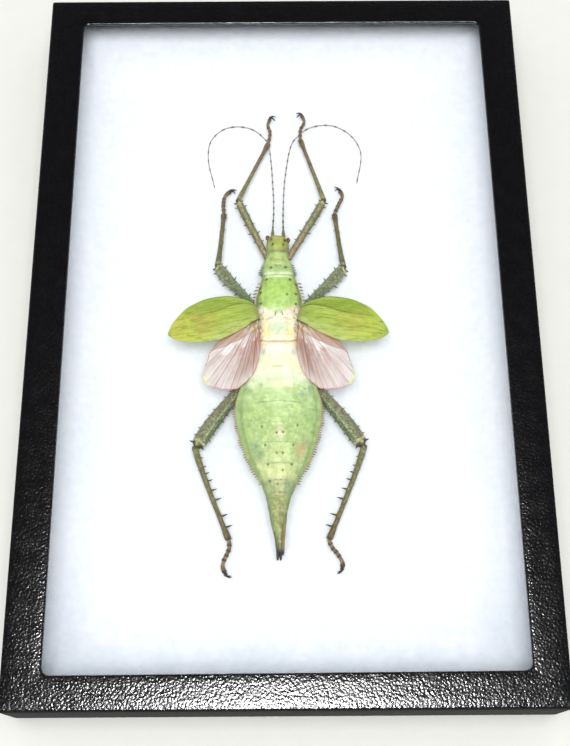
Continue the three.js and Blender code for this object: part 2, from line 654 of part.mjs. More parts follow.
// A thread through points, given as [out, y, level].
function feelerPath(feeler) {
  const side = feeler.side;
  const start = at(side * 2.2, FEELER.baseY, FEELER.rootLevel - 0.4);
  const near = feeler.near.map(([out, y], i) => at(side * out, y, [14.2, 11.2, FEELER.lieLevel][i]));
  const far = feeler.far.map(([out, y]) => at(side * out, y, FEELER.lieLevel));
  return new THREE.CatmullRomCurve3([start, ...near, ...far]);
}

function thread(curve, from, to, steps, radius) {
  const points = Array.from({ length: steps + 1 }, (_, i) => curve.getPointAt(from + ((to - from) * i) / steps));
  return limb(points, points.map(() => radius), 4);
}

for (const feeler of FEELERS) {
  const root = at(feeler.side * 2.4, FEELER.rootY, FEELER.rootLevel);
  const curve = feelerPath(feeler);
  const length = curve.getLength();
  const neck = curve.getPointAt(0);
  const base = limb([root, between(root, neck, 0.45), neck], [FEELER.base, FEELER.base * 1.05, FEELER.base * 0.7], 6);
  const split = 0.46;
  const gap = GAP / length;
  put(insect, `feeler_${feeler.name}_base`, base, MATERIAL.feeler);
  put(insect, `feeler_${feeler.name}_near`, thread(curve, gap, split, 10, FEELER.near), MATERIAL.feeler);
  put(insect, `feeler_${feeler.name}_far`, thread(curve, split + gap, 1, 18, FEELER.far), MATERIAL.feeler);
}

// ---------------------------------------------------------------- putting the insect together

const thoraxGrown = [PRONOTUM, MESOTHORAX, METATHORAX, HEAD_STATIONS].map((stations) => trunk(stations, GAP));
const abdomenGrown = trunk(stationsBetween(THORAX.rear, TERGITE_LINES[5], 12), GAP);

const hindFemurSleeves = [];
for (const leg of LEGS) {
  const joints = legJoints(leg);
  const [thigh, shin, foot] = [femurLine(leg, joints), tibiaLine(leg, joints), tarsusLine(leg, joints)];
  const pieces = {
    femur: [without(femur(leg, joints), ...thoraxGrown, sleeveOf(shin)), MATERIAL.leg],
    tibia: [without(tibia(leg, joints), sleeveOf(foot)), MATERIAL.leg],
    tarsus: [limbOf(foot), MATERIAL.leg],
    claws: [without(claws(leg, joints), sleeveOf(foot)), MATERIAL.claw],
  };
  for (const [name, [solid, material]] of Object.entries(pieces)) {
    put(insect, `${leg.name}_${name}`, largestBody(solid), material);
  }
  if (leg.form === HIND) hindFemurSleeves.push(sleeveOf(thigh));
}

for (let i = 0; i < TERGITE_LINES.length - 1; i++) {
  const [front, rear] = [TERGITE_LINES[i] - GAP / 2, TERGITE_LINES[i + 1] + GAP / 2];
  const stations = stationsBetween(front, rear, front > -21 ? 4 : 3);
  const spines = [];
  if (rear > -60 && front < -19) spines.push(...edgeSpines(stations, front - 0.5, rear + 0.5, 3, 0.8));
  if (rear > -66 && front < -35) {
    const spread = read(widthTable, front) * 0.41;
    spines.push(...backSpines(stations, [[spread, front - 1.1], [1.2, front - 4.4]], 0.8));
  }
  const tergite = without(joined(trunk(stations), ...spines), ...hindFemurSleeves);
  put(insect, `abdomen_${i + 1}`, largestBody(tergite), MATERIAL.abdomen);
}

// The beak that lays the eggs: an upper blade over a longer lower one, each ending in a point.
const [, beakWidth, , beakTop, beakBottom] = abdomenStation(ABDOMEN.rear);
const BEAK_UPPER = [
  [ABDOMEN.rear - GAP, beakWidth, ABDOMEN.keel - 0.6, beakTop, ABDOMEN.keel - 0.85],
  [-78, 2.55, ABDOMEN.keel - 0.9, 20.6, ABDOMEN.keel - 1.15],
  [-82, 2.0, ABDOMEN.keel - 1.05, 19.8, ABDOMEN.keel - 1.3],
  [-87.4, 1.1, ABDOMEN.keel - 1.3, 18.2, ABDOMEN.keel - 1.5],
];
const BEAK_LOWER = [
  [ABDOMEN.rear - GAP, beakWidth * 0.95, ABDOMEN.keel - 1.3, ABDOMEN.keel - 1.15, beakBottom],
  [-78, 2.45, ABDOMEN.keel - 1.6, ABDOMEN.keel - 1.45, 14.6],
  [-85, 1.75, ABDOMEN.keel - 2.0, ABDOMEN.keel - 1.85, 15.2],
  [ABDOMEN.beakTip, 1.15, ABDOMEN.keel - 2.1, ABDOMEN.keel - 1.9, 15.5],
];
put(insect, "ovipositor_upper", trunk(BEAK_UPPER), MATERIAL.beak);
// The lower blade is forked at its end.
const fork = new THREE.ConeGeometry(0.6, 2.6, 4).scale(1, 1, 8).translate(0, ABDOMEN.beakTip + 1, ABDOMEN.keel - 2);
const forked = without(trunk(BEAK_LOWER), solidOf(fork));
put(insect, "ovipositor_lower", forked, MATERIAL.beak);

const clearOfBody = (wing) => largestBody(without(wing, ...thoraxGrown, abdomenGrown));
for (const [name, side, rootY, tipY] of FORE_WINGS) {
  put(insect, `wing_fore_${name}`, clearOfBody(foreWing(side, rootY, tipY)), MATERIAL.foreWing);
  put(insect, `wing_hind_${name}`, clearOfBody(hindWing(side)), MATERIAL.hindWing);
}

export default model;
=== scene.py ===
# The finish of a framed giant stick insect: a dried female Malayan jungle nymph with her short wings
# spread, on white batting in a flat black card case with a glass lid.
import math

import bpy
import numpy as np
from mathutils import Matrix, Vector


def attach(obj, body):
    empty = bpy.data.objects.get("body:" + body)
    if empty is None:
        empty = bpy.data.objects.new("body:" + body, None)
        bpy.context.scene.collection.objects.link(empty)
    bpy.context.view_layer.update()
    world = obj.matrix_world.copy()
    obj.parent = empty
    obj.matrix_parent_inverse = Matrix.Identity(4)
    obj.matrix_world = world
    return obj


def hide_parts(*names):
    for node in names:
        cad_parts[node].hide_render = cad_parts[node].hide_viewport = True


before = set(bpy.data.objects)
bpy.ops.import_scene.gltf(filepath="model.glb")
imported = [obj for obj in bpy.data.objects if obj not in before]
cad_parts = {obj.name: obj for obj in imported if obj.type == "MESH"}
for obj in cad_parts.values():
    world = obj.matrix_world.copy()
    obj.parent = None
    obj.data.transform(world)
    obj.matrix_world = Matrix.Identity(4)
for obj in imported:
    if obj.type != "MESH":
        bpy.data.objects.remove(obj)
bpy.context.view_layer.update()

MM = 0.001  # every size below is in millimetres, and the scene is in metres

# ---------------------------------------------------------------- sizes and places

GAP = 0.3
CASE = {"width": 206, "length": 308, "height": 30, "card": 1.8, "skirt_lift": 1.5}
BEZEL = {"side": 14.8, "end": 12.4, "thickness": 2, "corner": 3}
# How far each corner of the hand-cut window is off, starting at the front right.
WINDOW_SKEW = np.array([[0, 0], [0, 0], [0, 0.5], [1.3, 1.2]])
PIN = {"head": 1.3, "proud": 0.7, "shank": 0.4, "along": 84, "up": 15}
PAD = {"width": 197.6, "length": 299.6, "under": 2.3, "low": 9.6, "high": 18.6, "rim_from": 0.76}

# The insect's own frame: x across, y to the head, from the joint of thorax and abdomen on the midline.
INSECT_AT = np.array([-2.0, -8.0, 0.0])
NO_SHIFT = np.zeros(3)

HEAD_TURNED = 0.12
NOSE = 49.3
NECK = 40.75
WAIST = 30.55
SADDLE = 12.15
HIPS = -1.6
BEAK_ROOT = -70.6
BEAK_TIP = -89.4
BLADE_END = -87.5
BROW_CAP = 1.3
BLADE_CAP = 1.0
LOWER_BLADE_OFF = 0.45

# The thorax and head in rows: [y, half width, height of the side edge, top, bottom].
FRONT_BODY = [
    [NOSE, 3.5, 17.6, 19.6, 15.3], [48.3, 4.1, 17.6, 20.6, 14.2], [46.6, 4.7, 17.6, 21.3, 13.4],
    [43.6, 4.8, 17.6, 21.5, 13.4], [42.1, 4.8, 17.5, 21.1, 13.8], [NECK, 4.55, 17.4, 20.7, 14.3],
    [39.9, 4.65, 17.4, 21.0, 13.9], [38.8, 4.8, 17.3, 21.3, 13.7], [37.2, 5.75, 17.2, 21.7, 13.3],
    [34.5, 6.7, 17.1, 22.2, 12.8], [32.3, 7.5, 17.0, 22.5, 12.5], [31.2, 7.6, 17.0, 22.6, 12.4],
    [WAIST, 7.15, 17.0, 22.3, 12.6], [29.7, 7.1, 17.0, 22.4, 12.4], [28.3, 7.6, 17.0, 22.7, 12.3],
    [24, 8.85, 17.2, 23.4, 12.0], [18.6, 10.05, 17.6, 23.8, 11.8], [12.9, 9.3, 18.0, 23.2, 11.8],
    [SADDLE, 8.9, 18.0, 22.8, 11.9], [11.4, 8.8, 18.0, 22.8, 11.8], [5, 8.5, 18.0, 23.0, 11.8],
    [-0.9, 8.6, 18.2, 22.8, 11.6], [HIPS, 8.3, 18.3, 22.4, 11.9],
]
# How far the middle of the dried body strays from its own frame's midline, at each y.
STRAY = [
    [-87.5, 0.17], [-83, 0.17], [-80, 0.1], [-77, -0.19],
    [-74, -0.36], [-70, -0.42], [-64.5, -0.27], [-60, 0],
    [10, 0], [17, 0.22], [28, 0.2], [32, -0.1], [35, -0.3], [38, -0.4], [42, -0.25], [46, -0.15], [50, 0],
]
ABDOMEN = {"keel": 18.4, "top": 25.2, "bottom": 10.4, "broadest": 17.7}
ABDOMEN_WIDTHS = [
    [HIPS, 8.4], [-11, 11.2], [-20, 15.8], [-29.5, 17.7], [-39.5, 16.1], [-51, 12.0], [-59, 7.5],
    [-64.5, 5.2], [BEAK_ROOT, 3.7], [-74, 3.2], [-78, 2.55], [-82, 1.95], [BLADE_END, 1.3],
]
TERGITE_LINES = [HIPS, -10.8, -19.8, -27.3, -36, -44, -52.4, -58.9, -63.8, -70.0, BLADE_END]
DOME = 1.35  # over 1 draws the section in towards a keel at its sides

FRONT = {
    "levels": [14.2, 13.6, 12.2, 11.4],
    "femur": {"base": 1.35, "swell": 1.65, "knee": 1.6, "flat": 0.9, "bow": 0.3},
    "femur_spines": {"start": 0.32, "count": 5, "size": 1.6, "knee": 2.6, "knee_lean": 0.4},
    "tibia": {"shaft": 0.86, "ankle": 1.15, "bow": 0.1},
    "tibia_spines": {"inner": [0.3, 0.55, 0.75, 0.9], "outer": [0.25, 0.6], "size": 0.5, "longest": 0.6},
    "tarsus": 0.82,
    "femur_tints": ["#B79C84", "#9C8A66", "#8B8A58", "#84865A", "#8A7C56"],
    "tibia_tints": ["#8C8256", "#8A8352", "#8B7A50", "#87704E", "#7A6242"],
}
MIDDLE = {
    "levels": [14.2, 14.0, 12.2, 11.4],
    "femur": {"base": 1.1, "swell": 2.5, "knee": 2.25, "flat": 0.85, "bow": 0.9},
    "femur_spines": {"start": 0.3, "count": 6, "size": 1.9, "knee": 2.5, "knee_lean": 0.4},
    "tibia": {"shaft": 0.98, "ankle": 1.2, "bow": -0.3},
    "tibia_spines": {"inner": [0.2, 0.45, 0.7, 0.92], "outer": [0.35, 0.65], "size": 0.6, "longest": 0.8},
    "tarsus": 0.95,
    "femur_tints": ["#56644E", "#667858", "#6C7E5E", "#747F5E", "#7E8460"],
    "tibia_tints": ["#6B7350", "#747150", "#7B704A", "#7A6B48", "#6E5A3E"],
}
HIND = {
    "levels": [13.6, 14.0, 12.4, 11.4],
    "femur": {"base": 1.4, "swell": 2.95, "knee": 2.85, "flat": 0.9, "bow": 0.7},
    "femur_spines": {"start": 0.22, "count": 11, "size": 1.5, "knee": 3.0, "knee_lean": 0.2},
    "tibia": {"shaft": 1.05, "ankle": 1.28, "bow": 0.7},
    "tibia_spines": {
        "inner": [0.14, 0.23, 0.3, 0.38, 0.48, 0.585, 0.755, 0.865], "outer": [0.1, 0.25, 0.42, 0.6, 0.8],
        "size": 0.5, "longest": 2.8,
    },
    "tarsus": 0.98,
    "femur_tints": ["#7C7C5E", "#7A8262", "#72805E", "#6E7D5A", "#727D58"],
    "tibia_tints": ["#7A7A52", "#7F7A52", "#80774E", "#7C704A", "#75623F"],
}
# Legs: a heading turns outwards from the head end, in degrees, and each length has one heading.
LEGS = [
    ("leg_front_left", -1, FRONT, [4, 39.4], [32.4, 24.1], [32.4, -23.9],
     [[6, -6.5], [3.7, 15.5], [4, -15]], -106),
    ("leg_front_right", 1, FRONT, [4, 40], [33.1, 28.7], [33, -17.4],
     [[5.3, 3], [4.4, 22.5], [3.9, -17]], -104),
    ("leg_middle_left", -1, MIDDLE, [8.2, 16.3], [27.8, 39.5], [25.8, -5.3],
     [[4.5, 3.8], [4.5, -9], [3.2, -41]], -110),
    ("leg_middle_right", 1, MIDDLE, [8.5, 15.9], [28.4, 43], [26.5, -7.2],
     [[5, 22], [4.8, 21.5], [2.9, -19]], -76),
    ("leg_hind_left", -1, HIND, [5.5, -4], [48.3, 144.7], [39.7, 200.1],
     [[2.8, 182.8], [2.8, 159.7], [2.8, 155], [2.3, 172], [2.5, 203]], 254),
    ("leg_hind_right", 1, HIND, [5, -4.5], [48.2, 143.3], [40.2, 201.1],
     [[3.2, 158], [2.3, 139.4], [2.6, 145.2], [2.4, 155.8], [1.7, 186.3]], 237),
]
TARSUS_JOINTS = [0, 0.22, 0.38, 0.52, 0.66, 1]

FEELER = {"root_level": 17.2, "lie_level": 10.25, "root_y": 50.3, "base_y": 53.2}
FEELERS = [
    ("left", -1, [[1.8, 64.5], [2.3, 79], [3.7, 96.3]],
     [[5.1, 101.1], [12.5, 107.6], [22.7, 107.9], [29.5, 101.9], [31, 92.7], [27.9, 77.5]]),
    ("right", 1, [[2.2, 61.4], [3.2, 82], [6.5, 100]],
     [[9, 103.3], [14.4, 107.8], [24.2, 108.9], [32.4, 104], [37, 95], [34.8, 78.9]]),
]
EYE = {"radius": 1.1, "x": 4.65, "y": 47.6, "z": 18.6, "narrow": 0.8}

FORE_WING = {"root": 8.5, "tip": 45.1, "thickness": 0.4, "level": 22.4, "camber": 1.4, "droop": 1.8}
FORE_WINGS = [("left", -1, 13, 3.2), ("right", 1, 12.3, 3.5)]  # each one's y at its root and tip
# The leaf's stations: [share of its length, leading edge, trailing edge], off the line from root to tip.
LEAF = [
    [0, 2.6, 4.0], [0.12, 6.6, 5.0], [0.3, 9.9, 6.9], [0.5, 10.75, 8.0],
    [0.7, 9.5, 6.9], [0.85, 6.4, 4.9], [0.95, 3.1, 2.9], [1, 0.8, 0.9],
]
# Where the fore wing's main vein runs: [share of its length, share of the way from the axis to the edge].
MAIN_VEIN = [
    [0, 0.72], [0.1, 0.66], [0.2, 0.56], [0.32, 0.43], [0.45, 0.36], [0.55, 0.37], [0.7, 0.45], [1, 0.5],
]
HIND_WING = {
    "root": [8.8, 10.6], "thickness": 0.3, "level": 21.2, "pleat": 0.35, "pleats": 7, "inner_rise": 1.4,
}
# The fan's rim: [degrees from straight out towards the tail, length of the wing there].
HIND_WING_RIM = [
    [24, 8], [31, 15.5], [35, 21.5], [44.5, 29.3], [50.7, 34.9], [54, 35.8], [66, 34.8],
    [74, 33.2], [80, 30.2], [87, 25.2], [93, 17], [97, 9],
]

# ---------------------------------------------------------------- colour and nodes


def linear(code):
    """An sRGB hex colour as linear light."""
    parts = [int(code[i : i + 2], 16) / 255 for i in (1, 3, 5)]
    return np.array([c / 12.92 if c <= 0.04045 else ((c + 0.055) / 1.055) ** 2.4 for c in parts])


def rgba(code):
    return (*linear(code), 1.0)


def add(tree, kind, settings=None, inputs=None):
    """A node with its settings, and its inputs set to a value or linked to another node's output."""
    node = tree.nodes.new(kind)
    for key, value in (settings or {}).items():
        setattr(node, key, value)
    for key, value in (inputs or {}).items():
        if isinstance(value, bpy.types.NodeSocket):
            tree.links.new(value, node.inputs[key])
        else:
            node.inputs[key].default_value = value
    return node


def new_material(name):
    made = bpy.data.materials.new(name)
    made.use_nodes = True
    made.node_tree.nodes.clear()
    return made, made.node_tree


def surface(tree, shader):
    add(tree, "ShaderNodeOutputMaterial", inputs={"Surface": shader})


def mix(tree, factor, a, b, blend="MIX"):
    """One colour over another."""
    node = add(tree, "ShaderNodeMix", {"data_type": "RGBA", "blend_type": blend}, {0: factor, 6: a, 7: b})
    return node.outputs[2]


def remap(tree, value, low, high, to_low=0.0, to_high=1.0):
    sockets = {"Value": value, "From Min": low, "From Max": high, "To Min": to_low, "To Max": to_high}
    return add(tree, "ShaderNodeMapRange", inputs=sockets).outputs[0]


def times(tree, a, b):
    return add(tree, "ShaderNodeMath", {"operation": "MULTIPLY"}, {0: a, 1: b}).outputs[0]


def noise_of(tree, place, size, detail=3.0, rough=0.5):
    """Cloudy noise whose features are size millimetres across."""
    sockets = {"Vector": place, "Scale": 1 / (size * MM), "Detail": detail, "Roughness": rough}
    return add(tree, "ShaderNodeTexNoise", inputs=sockets).outputs[0]


def cells_of(tree, place, size, feature="F1"):
    """Distance in cells that are size millimetres across."""
    sockets = {"Vector": place, "Scale": 1 / (size * MM)}
    return add(tree, "ShaderNodeTexVoronoi", {"feature": feature}, sockets).outputs["Distance"]


def bump_of(tree, height, depth, normal=None):
    """Relief whose full height is depth millimetres."""
    sockets = {"Height": height, "Distance": depth * MM, "Strength": 1.0}
    if normal is not None:
        sockets["Normal"] = normal
    return add(tree, "ShaderNodeBump", inputs=sockets).outputs[0]


def object_place(tree):
    return add(tree, "ShaderNodeTexCoord").outputs["Object"]


def tint_of(tree):
    return add(tree, "ShaderNodeAttribute", {"attribute_name": "tint"}).outputs["Color"]


# ---------------------------------------------------------------- materials


def leatherette():
    """Embossed black binding paper: a pebbled grain just under 1 mm across, lacquered so that it glints."""
    made, tree = new_material("leatherette_embossed_paper")
    place = object_place(tree)
    warp = add(tree, "ShaderNodeVectorMath", {"operation": "MULTIPLY_ADD"}, {
        0: add(tree, "ShaderNodeTexNoise",
               inputs={"Vector": place, "Scale": 1 / (1.6 * MM)}).outputs["Color"],
        1: (0.35 * MM,) * 3, 2: place})
    pebble = cells_of(tree, warp.outputs[0], 0.9, "SMOOTH_F1")
    fine = noise_of(tree, place, 0.4, 2.0)
    height = add(
        tree, "ShaderNodeMath", {"operation": "MULTIPLY_ADD"}, {0: fine, 1: 0.3, 2: pebble}).outputs[0]
    shine = remap(tree, noise_of(tree, place, 6.0), 0.3, 0.7, 0.17, 0.24)
    colour = mix(tree, remap(tree, pebble, 0.1, 0.6), rgba("#0C0C0F"), rgba("#040406"))
    shader = add(tree, "ShaderNodeBsdfPrincipled", inputs={
        "Base Color": colour, "Roughness": shine, "IOR": 1.5, "Specular IOR Level": 0.9,
        "Normal": bump_of(tree, height, -0.14)})
    surface(tree, shader.outputs[0])
    return made


def bare_card():
    """Pressed black card of the tray, matt and slightly fibrous."""
    made, tree = new_material("tray_pressed_card")
    place = object_place(tree)
    fibre = noise_of(tree, place, 0.8, 5.0, 0.7)
    colour = mix(tree, remap(tree, fibre, 0.35, 0.65), rgba("#121214"), rgba("#1F1F22"))
    shader = add(tree, "ShaderNodeBsdfPrincipled", inputs={
        "Base Color": colour, "Roughness": 0.75, "Normal": bump_of(tree, fibre, 0.05)})
    surface(tree, shader.outputs[0])
    return made


def window_glass():
    """Thin float glass, polished and clear: it lets light straight through, and mirrors most at a slant."""
    made, tree = new_material("lid_float_glass")
    smudge = noise_of(tree, object_place(tree), 30.0, 4.0)
    clear = add(tree, "ShaderNodeBsdfTransparent", inputs={"Color": (0.985, 0.99, 0.99, 1)})
    rough = remap(tree, smudge, 0.4, 0.8, 0.02, 0.1)
    gloss = add(tree, "ShaderNodeBsdfGlossy", inputs={"Color": (1, 1, 1, 1), "Roughness": rough})
    slant = add(tree, "ShaderNodeLayerWeight", inputs={"Blend": 0.5}).outputs["Facing"]
    rise = add(tree, "ShaderNodeMath", {"operation": "POWER"}, {0: slant, 1: 5.0}).outputs[0]
    mirrored = remap(tree, rise, 0.0, 1.0, 0.04, 1.0)
    both = add(tree, "ShaderNodeMixShader", inputs={0: mirrored, 1: clear.outputs[0], 2: gloss.outputs[0]})
    surface(tree, both.outputs[0])
    return made


def batting_fibre():
    """Bonded polyester batting: white, matt and fluffy, with fine crossing fibres."""
    made, tree = new_material("batting_bonded_polyester")
    place = object_place(tree)
    fluff = noise_of(tree, place, 3.0, 8.0, 0.72)
    strand = add(tree, "ShaderNodeTexNoise", inputs={
        "Vector": add(tree, "ShaderNodeMapping", inputs={
            "Vector": place, "Rotation": (0, 0, 0.6), "Scale": (1, 0.15, 1)}).outputs[0],
        "Scale": 1 / (0.6 * MM), "Detail": 4.0, "Distortion": 0.8}).outputs[0]
    height = add(
        tree, "ShaderNodeMath", {"operation": "MULTIPLY_ADD"}, {0: strand, 1: 0.3, 2: fluff}).outputs[0]
    white = mix(tree, remap(tree, fluff, 0.3, 0.7), rgba("#EAEFF9"), rgba("#FAFBFF"))
    # The painted tint it multiplies in carries the painted shade near the window's edges.
    colour = mix(tree, 1.0, white, tint_of(tree), "MULTIPLY")
    shader = add(tree, "ShaderNodeBsdfPrincipled", inputs={
        "Base Color": colour, "Roughness": 0.95, "IOR": 1.3, "Normal": bump_of(tree, height, 0.35)})
    surface(tree, shader.outputs[0])
    return made


def pin_steel():
    """Drawn and nickelled steel pin, bright with fine turning marks."""
    made, tree = new_material("pin_nickelled_steel")
    mark = noise_of(tree, object_place(tree), 0.3, 3.0)
    shader = add(tree, "ShaderNodeBsdfPrincipled", inputs={
        "Base Color": mix(tree, mark, rgba("#C9CCD0"), rgba("#A9ACB2")), "Metallic": 1.0,
        "Roughness": remap(tree, mark, 0.3, 0.7, 0.2, 0.36)})
    surface(tree, shader.outputs[0])
    return made


def cuticle(name, mottle_size, mottle, grain_size, grain_depth, rough, pitted=0.0):
    """Dried insect cuticle: a painted tint broken by soft mottling, with a fine pitted or granular relief."""
    made, tree = new_material(name)
    place = object_place(tree)
    cloud = noise_of(tree, place, mottle_size, 4.0, 0.6)
    fleck = noise_of(tree, place, mottle_size * 0.28, 3.0, 0.6)
    painted = add(tree, "ShaderNodeAttribute", {"attribute_name": "tint"})
    dark = times(tree, remap(tree, cloud, 0.35, 0.65, 0.0, mottle), painted.outputs["Alpha"])
    pale = times(tree, remap(tree, fleck, 0.55, 0.75, 0.0, mottle * 0.8), painted.outputs["Alpha"])
    darker = mix(tree, dark, painted.outputs["Color"], rgba("#7C9468"), "MULTIPLY")
    lighter = mix(tree, pale, darker, rgba("#9AA078"), "SCREEN")
    # Painted shade: the cuticle is darkened in the low ground between the relief's granules, as much as the
    # last argument asks.
    grain = cells_of(tree, place, grain_size)
    between = times(tree, remap(tree, grain, 0.25, 0.6, 0.0, pitted), painted.outputs["Alpha"])
    shaded = mix(tree, between, lighter, rgba("#5C5640"), "MULTIPLY")
    height = add(
        tree, "ShaderNodeMath", {"operation": "MULTIPLY_ADD"}, {0: fleck, 1: 0.6, 2: grain}).outputs[0]
    shader = add(tree, "ShaderNodeBsdfPrincipled", inputs={
        "Base Color": shaded, "Roughness": remap(tree, cloud, 0.3, 0.7, rough - 0.07, rough + 0.08),
        "IOR": 1.5, "Normal": bump_of(tree, height, -grain_depth)})
    surface(tree, shader.outputs[0])
    return made


def eye_facets():
    """Compound eye: glossy brown cuticle in fine domed facets, drawn at 0.16 mm so that they show."""
    made, tree = new_material("eye_faceted_cuticle")
    place = object_place(tree)
    facet = cells_of(tree, place, 0.16)
    colour = mix(tree, remap(tree, noise_of(tree, place, 0.9), 0.35, 0.65), rgba("#45271C"), rgba("#85552F"))
    shader = add(tree, "ShaderNodeBsdfPrincipled", inputs={
        "Base Color": colour, "Roughness": 0.2, "IOR": 1.5, "Coat Weight": 0.5, "Coat Roughness": 0.08,
        "Normal": bump_of(tree, facet, -0.02)})
    surface(tree, shader.outputs[0])
    return made


def hooked_claw():
    """Claw cuticle: hard, dark and polished, browner at its root."""
    made, tree = new_material("claw_hard_cuticle")
    place = object_place(tree)
    streak = noise_of(tree, place, 0.7, 3.0)
    shader = add(tree, "ShaderNodeBsdfPrincipled", inputs={
        "Base Color": mix(tree, streak, tint_of(tree), rgba("#2A1D18"), "MIX"), "Roughness": 0.32,
        "Normal": bump_of(tree, streak, 0.04)})
    surface(tree, shader.outputs[0])
    return made


def tegmen_leather():
    """Leathery fore wing: painted tint and raised veins, with a fine net of cells between them."""
    made, tree = new_material("tegmen_leathery_cuticle")
    uv = add(tree, "ShaderNodeTexCoord").outputs["UV"]
    net = add(tree, "ShaderNodeMapping", inputs={"Vector": uv, "Scale": (52, 34, 1)}).outputs[0]
    cell = add(tree, "ShaderNodeTexVoronoi", {"feature": "DISTANCE_TO_EDGE"}, {"Vector": net, "Scale": 1.0})
    wall = remap(tree, cell.outputs["Distance"], 0.0, 0.16, 1.0, 0.0)
    streak = add(tree, "ShaderNodeTexNoise", inputs={
        "Vector": add(tree, "ShaderNodeMapping", inputs={"Vector": uv, "Scale": (5, 42, 1)}).outputs[0],
        "Scale": 1.0, "Detail": 4.0}).outputs[0]
    tint = tint_of(tree)
    streaked = mix(tree, remap(tree, streak, 0.4, 0.7, 0.0, 0.55), tint, rgba("#C6CB78"), "MULTIPLY")
    netted = mix(tree, add(tree, "ShaderNodeMath", {"operation": "MULTIPLY"}, {0: wall, 1: 0.2}).outputs[0],
                 streaked, rgba("#D3DC66"))
    shader = add(tree, "ShaderNodeBsdfPrincipled", inputs={
        "Base Color": netted, "Roughness": remap(tree, streak, 0.3, 0.7, 0.42, 0.56), "IOR": 1.5,
        "Normal": bump_of(tree, wall, 0.06)})
    surface(tree, shader.outputs[0])
    return made


def hind_wing_membrane():
    """Pleated hind wing: a thin dry film, partly clear between its veins and solid at its root."""
    made, tree = new_material("hind_wing_dry_membrane")
    clear = add(tree, "ShaderNodeAttribute", {"attribute_name": "solid"}).outputs["Fac"]
    crumple = noise_of(tree, object_place(tree), 0.9, 4.0)
    shader = add(tree, "ShaderNodeBsdfPrincipled", inputs={
        "Base Color": tint_of(tree), "Roughness": remap(tree, crumple, 0.3, 0.7, 0.28, 0.45), "IOR": 1.4,
        "Alpha": clear, "Normal": bump_of(tree, crumple, 0.05)})
    surface(tree, shader.outputs[0])
    return made


def studio_paper():
    """Plain pale backdrop paper, matt."""
    made, tree = new_material("floor_backdrop_paper")
    grain = noise_of(tree, object_place(tree), 8.0, 4.0)
    shader = add(tree, "ShaderNodeBsdfPrincipled", inputs={
        "Base Color": mix(tree, grain, rgba("#DADAD5"), rgba("#D5D5D0")), "Roughness": 0.8})
    surface(tree, shader.outputs[0])
    return made


MATERIAL = {
    "card": leatherette(),
    "tray": bare_card(),
    "glass": window_glass(),
    "batting": batting_fibre(),
    "steel": pin_steel(),
    "body": cuticle("body_dried_cuticle", 2.6, 0.32, 0.55, 0.06, 0.45),
    # The legs' last argument sets the painted shade between their granules.
    "leg": cuticle("leg_granular_cuticle", 1.4, 0.5, 0.95, 0.2, 0.5, 0.45),
    "feeler": cuticle("feeler_ringed_cuticle", 1.2, 0.3, 0.3, 0.03, 0.5),
    "eye": eye_facets(),
    "claw": hooked_claw(),
    "fore_wing": tegmen_leather(),
    "hind_wing": hind_wing_membrane(),
    "floor": studio_paper(),
}

# ---------------------------------------------------------------- shaping tools


def clear_selection():
    for item in bpy.context.selected_objects:
        item.select_set(False)


def coordinates(piece):
    values = np.empty(len(piece.data.vertices) * 3)
    piece.data.vertices.foreach_get("co", values)
    return values.reshape(-1, 3)


def set_coordinates(piece, points, shift=INSECT_AT):
    """Puts every vertex at its point, given in millimetres."""
    piece.data.vertices.foreach_set("co", ((points + shift) * MM).ravel())
    piece.data.update()


def ringed(name, levels, sides, place, shift=INSECT_AT):
    """A sphere whose rings are set one by one: place(level, across, up) gives every point."""
    clear_selection()
    bpy.ops.mesh.primitive_uv_sphere_add(segments=sides, ring_count=levels - 1, radius=1)
    piece = bpy.context.object
    piece.name = name
    ball = coordinates(piece)
    level = np.rint(np.arccos(np.clip(ball[:, 2], -1, 1)) / math.pi * (levels - 1)).astype(int)
    turn = np.arctan2(ball[:, 1], ball[:, 0])
    set_coordinates(piece, place(level, np.cos(turn), np.sin(turn)), shift)
    return piece


def unit(vectors):
    return vectors / np.linalg.norm(vectors, axis=-1, keepdims=True)


def limb(name, path, widths, sides=12, flat=1.0, relief=None, shift=INSECT_AT):
    """A closed limb round a path, with a half width at each of its points; relief scales its rings."""
    along = unit(np.gradient(path, axis=0))
    sideways = unit(np.cross(along, [0.0, 0.0, 1.0]))
    upward = np.cross(sideways, along)

    def place(level, across, up):
        swell = widths[level] * (relief(level, across, up) if relief else 1.0)
        sideways_part = sideways[level] * (across * swell)[:, None]
        upward_part = upward[level] * (up * swell * flat)[:, None]
        return path[level] + sideways_part + upward_part

    return ringed(name, len(path), sides, place, shift)


def flowing(rows, keys):
    """A table's values at keys, along curves that never swing past its rows."""
    rows = np.array(sorted(rows), float)
    x, y = rows[:, 0], rows[:, 1:]
    slope = np.diff(y, axis=0) / np.diff(x)[:, None]
    before, after = slope[:-1], slope[1:]
    level = before * after > 0
    inner = np.where(level, 2 * before * after / np.where(level, before + after, 1), 0)
    tangent = np.vstack([slope[:1], inner, slope[-1:]])
    keys = np.clip(keys, x[0], x[-1])
    i = np.clip(np.searchsorted(x, keys, side="right") - 1, 0, len(x) - 2)
    h = (x[i + 1] - x[i])[:, None]
    t = (keys - x[i])[:, None] / h
    return ((2 * t**3 - 3 * t**2 + 1) * y[i] + (t**3 - 2 * t**2 + t) * h * tangent[i]
            + (3 * t**2 - 2 * t**3) * y[i + 1] + (t**3 - t**2) * h * tangent[i + 1])


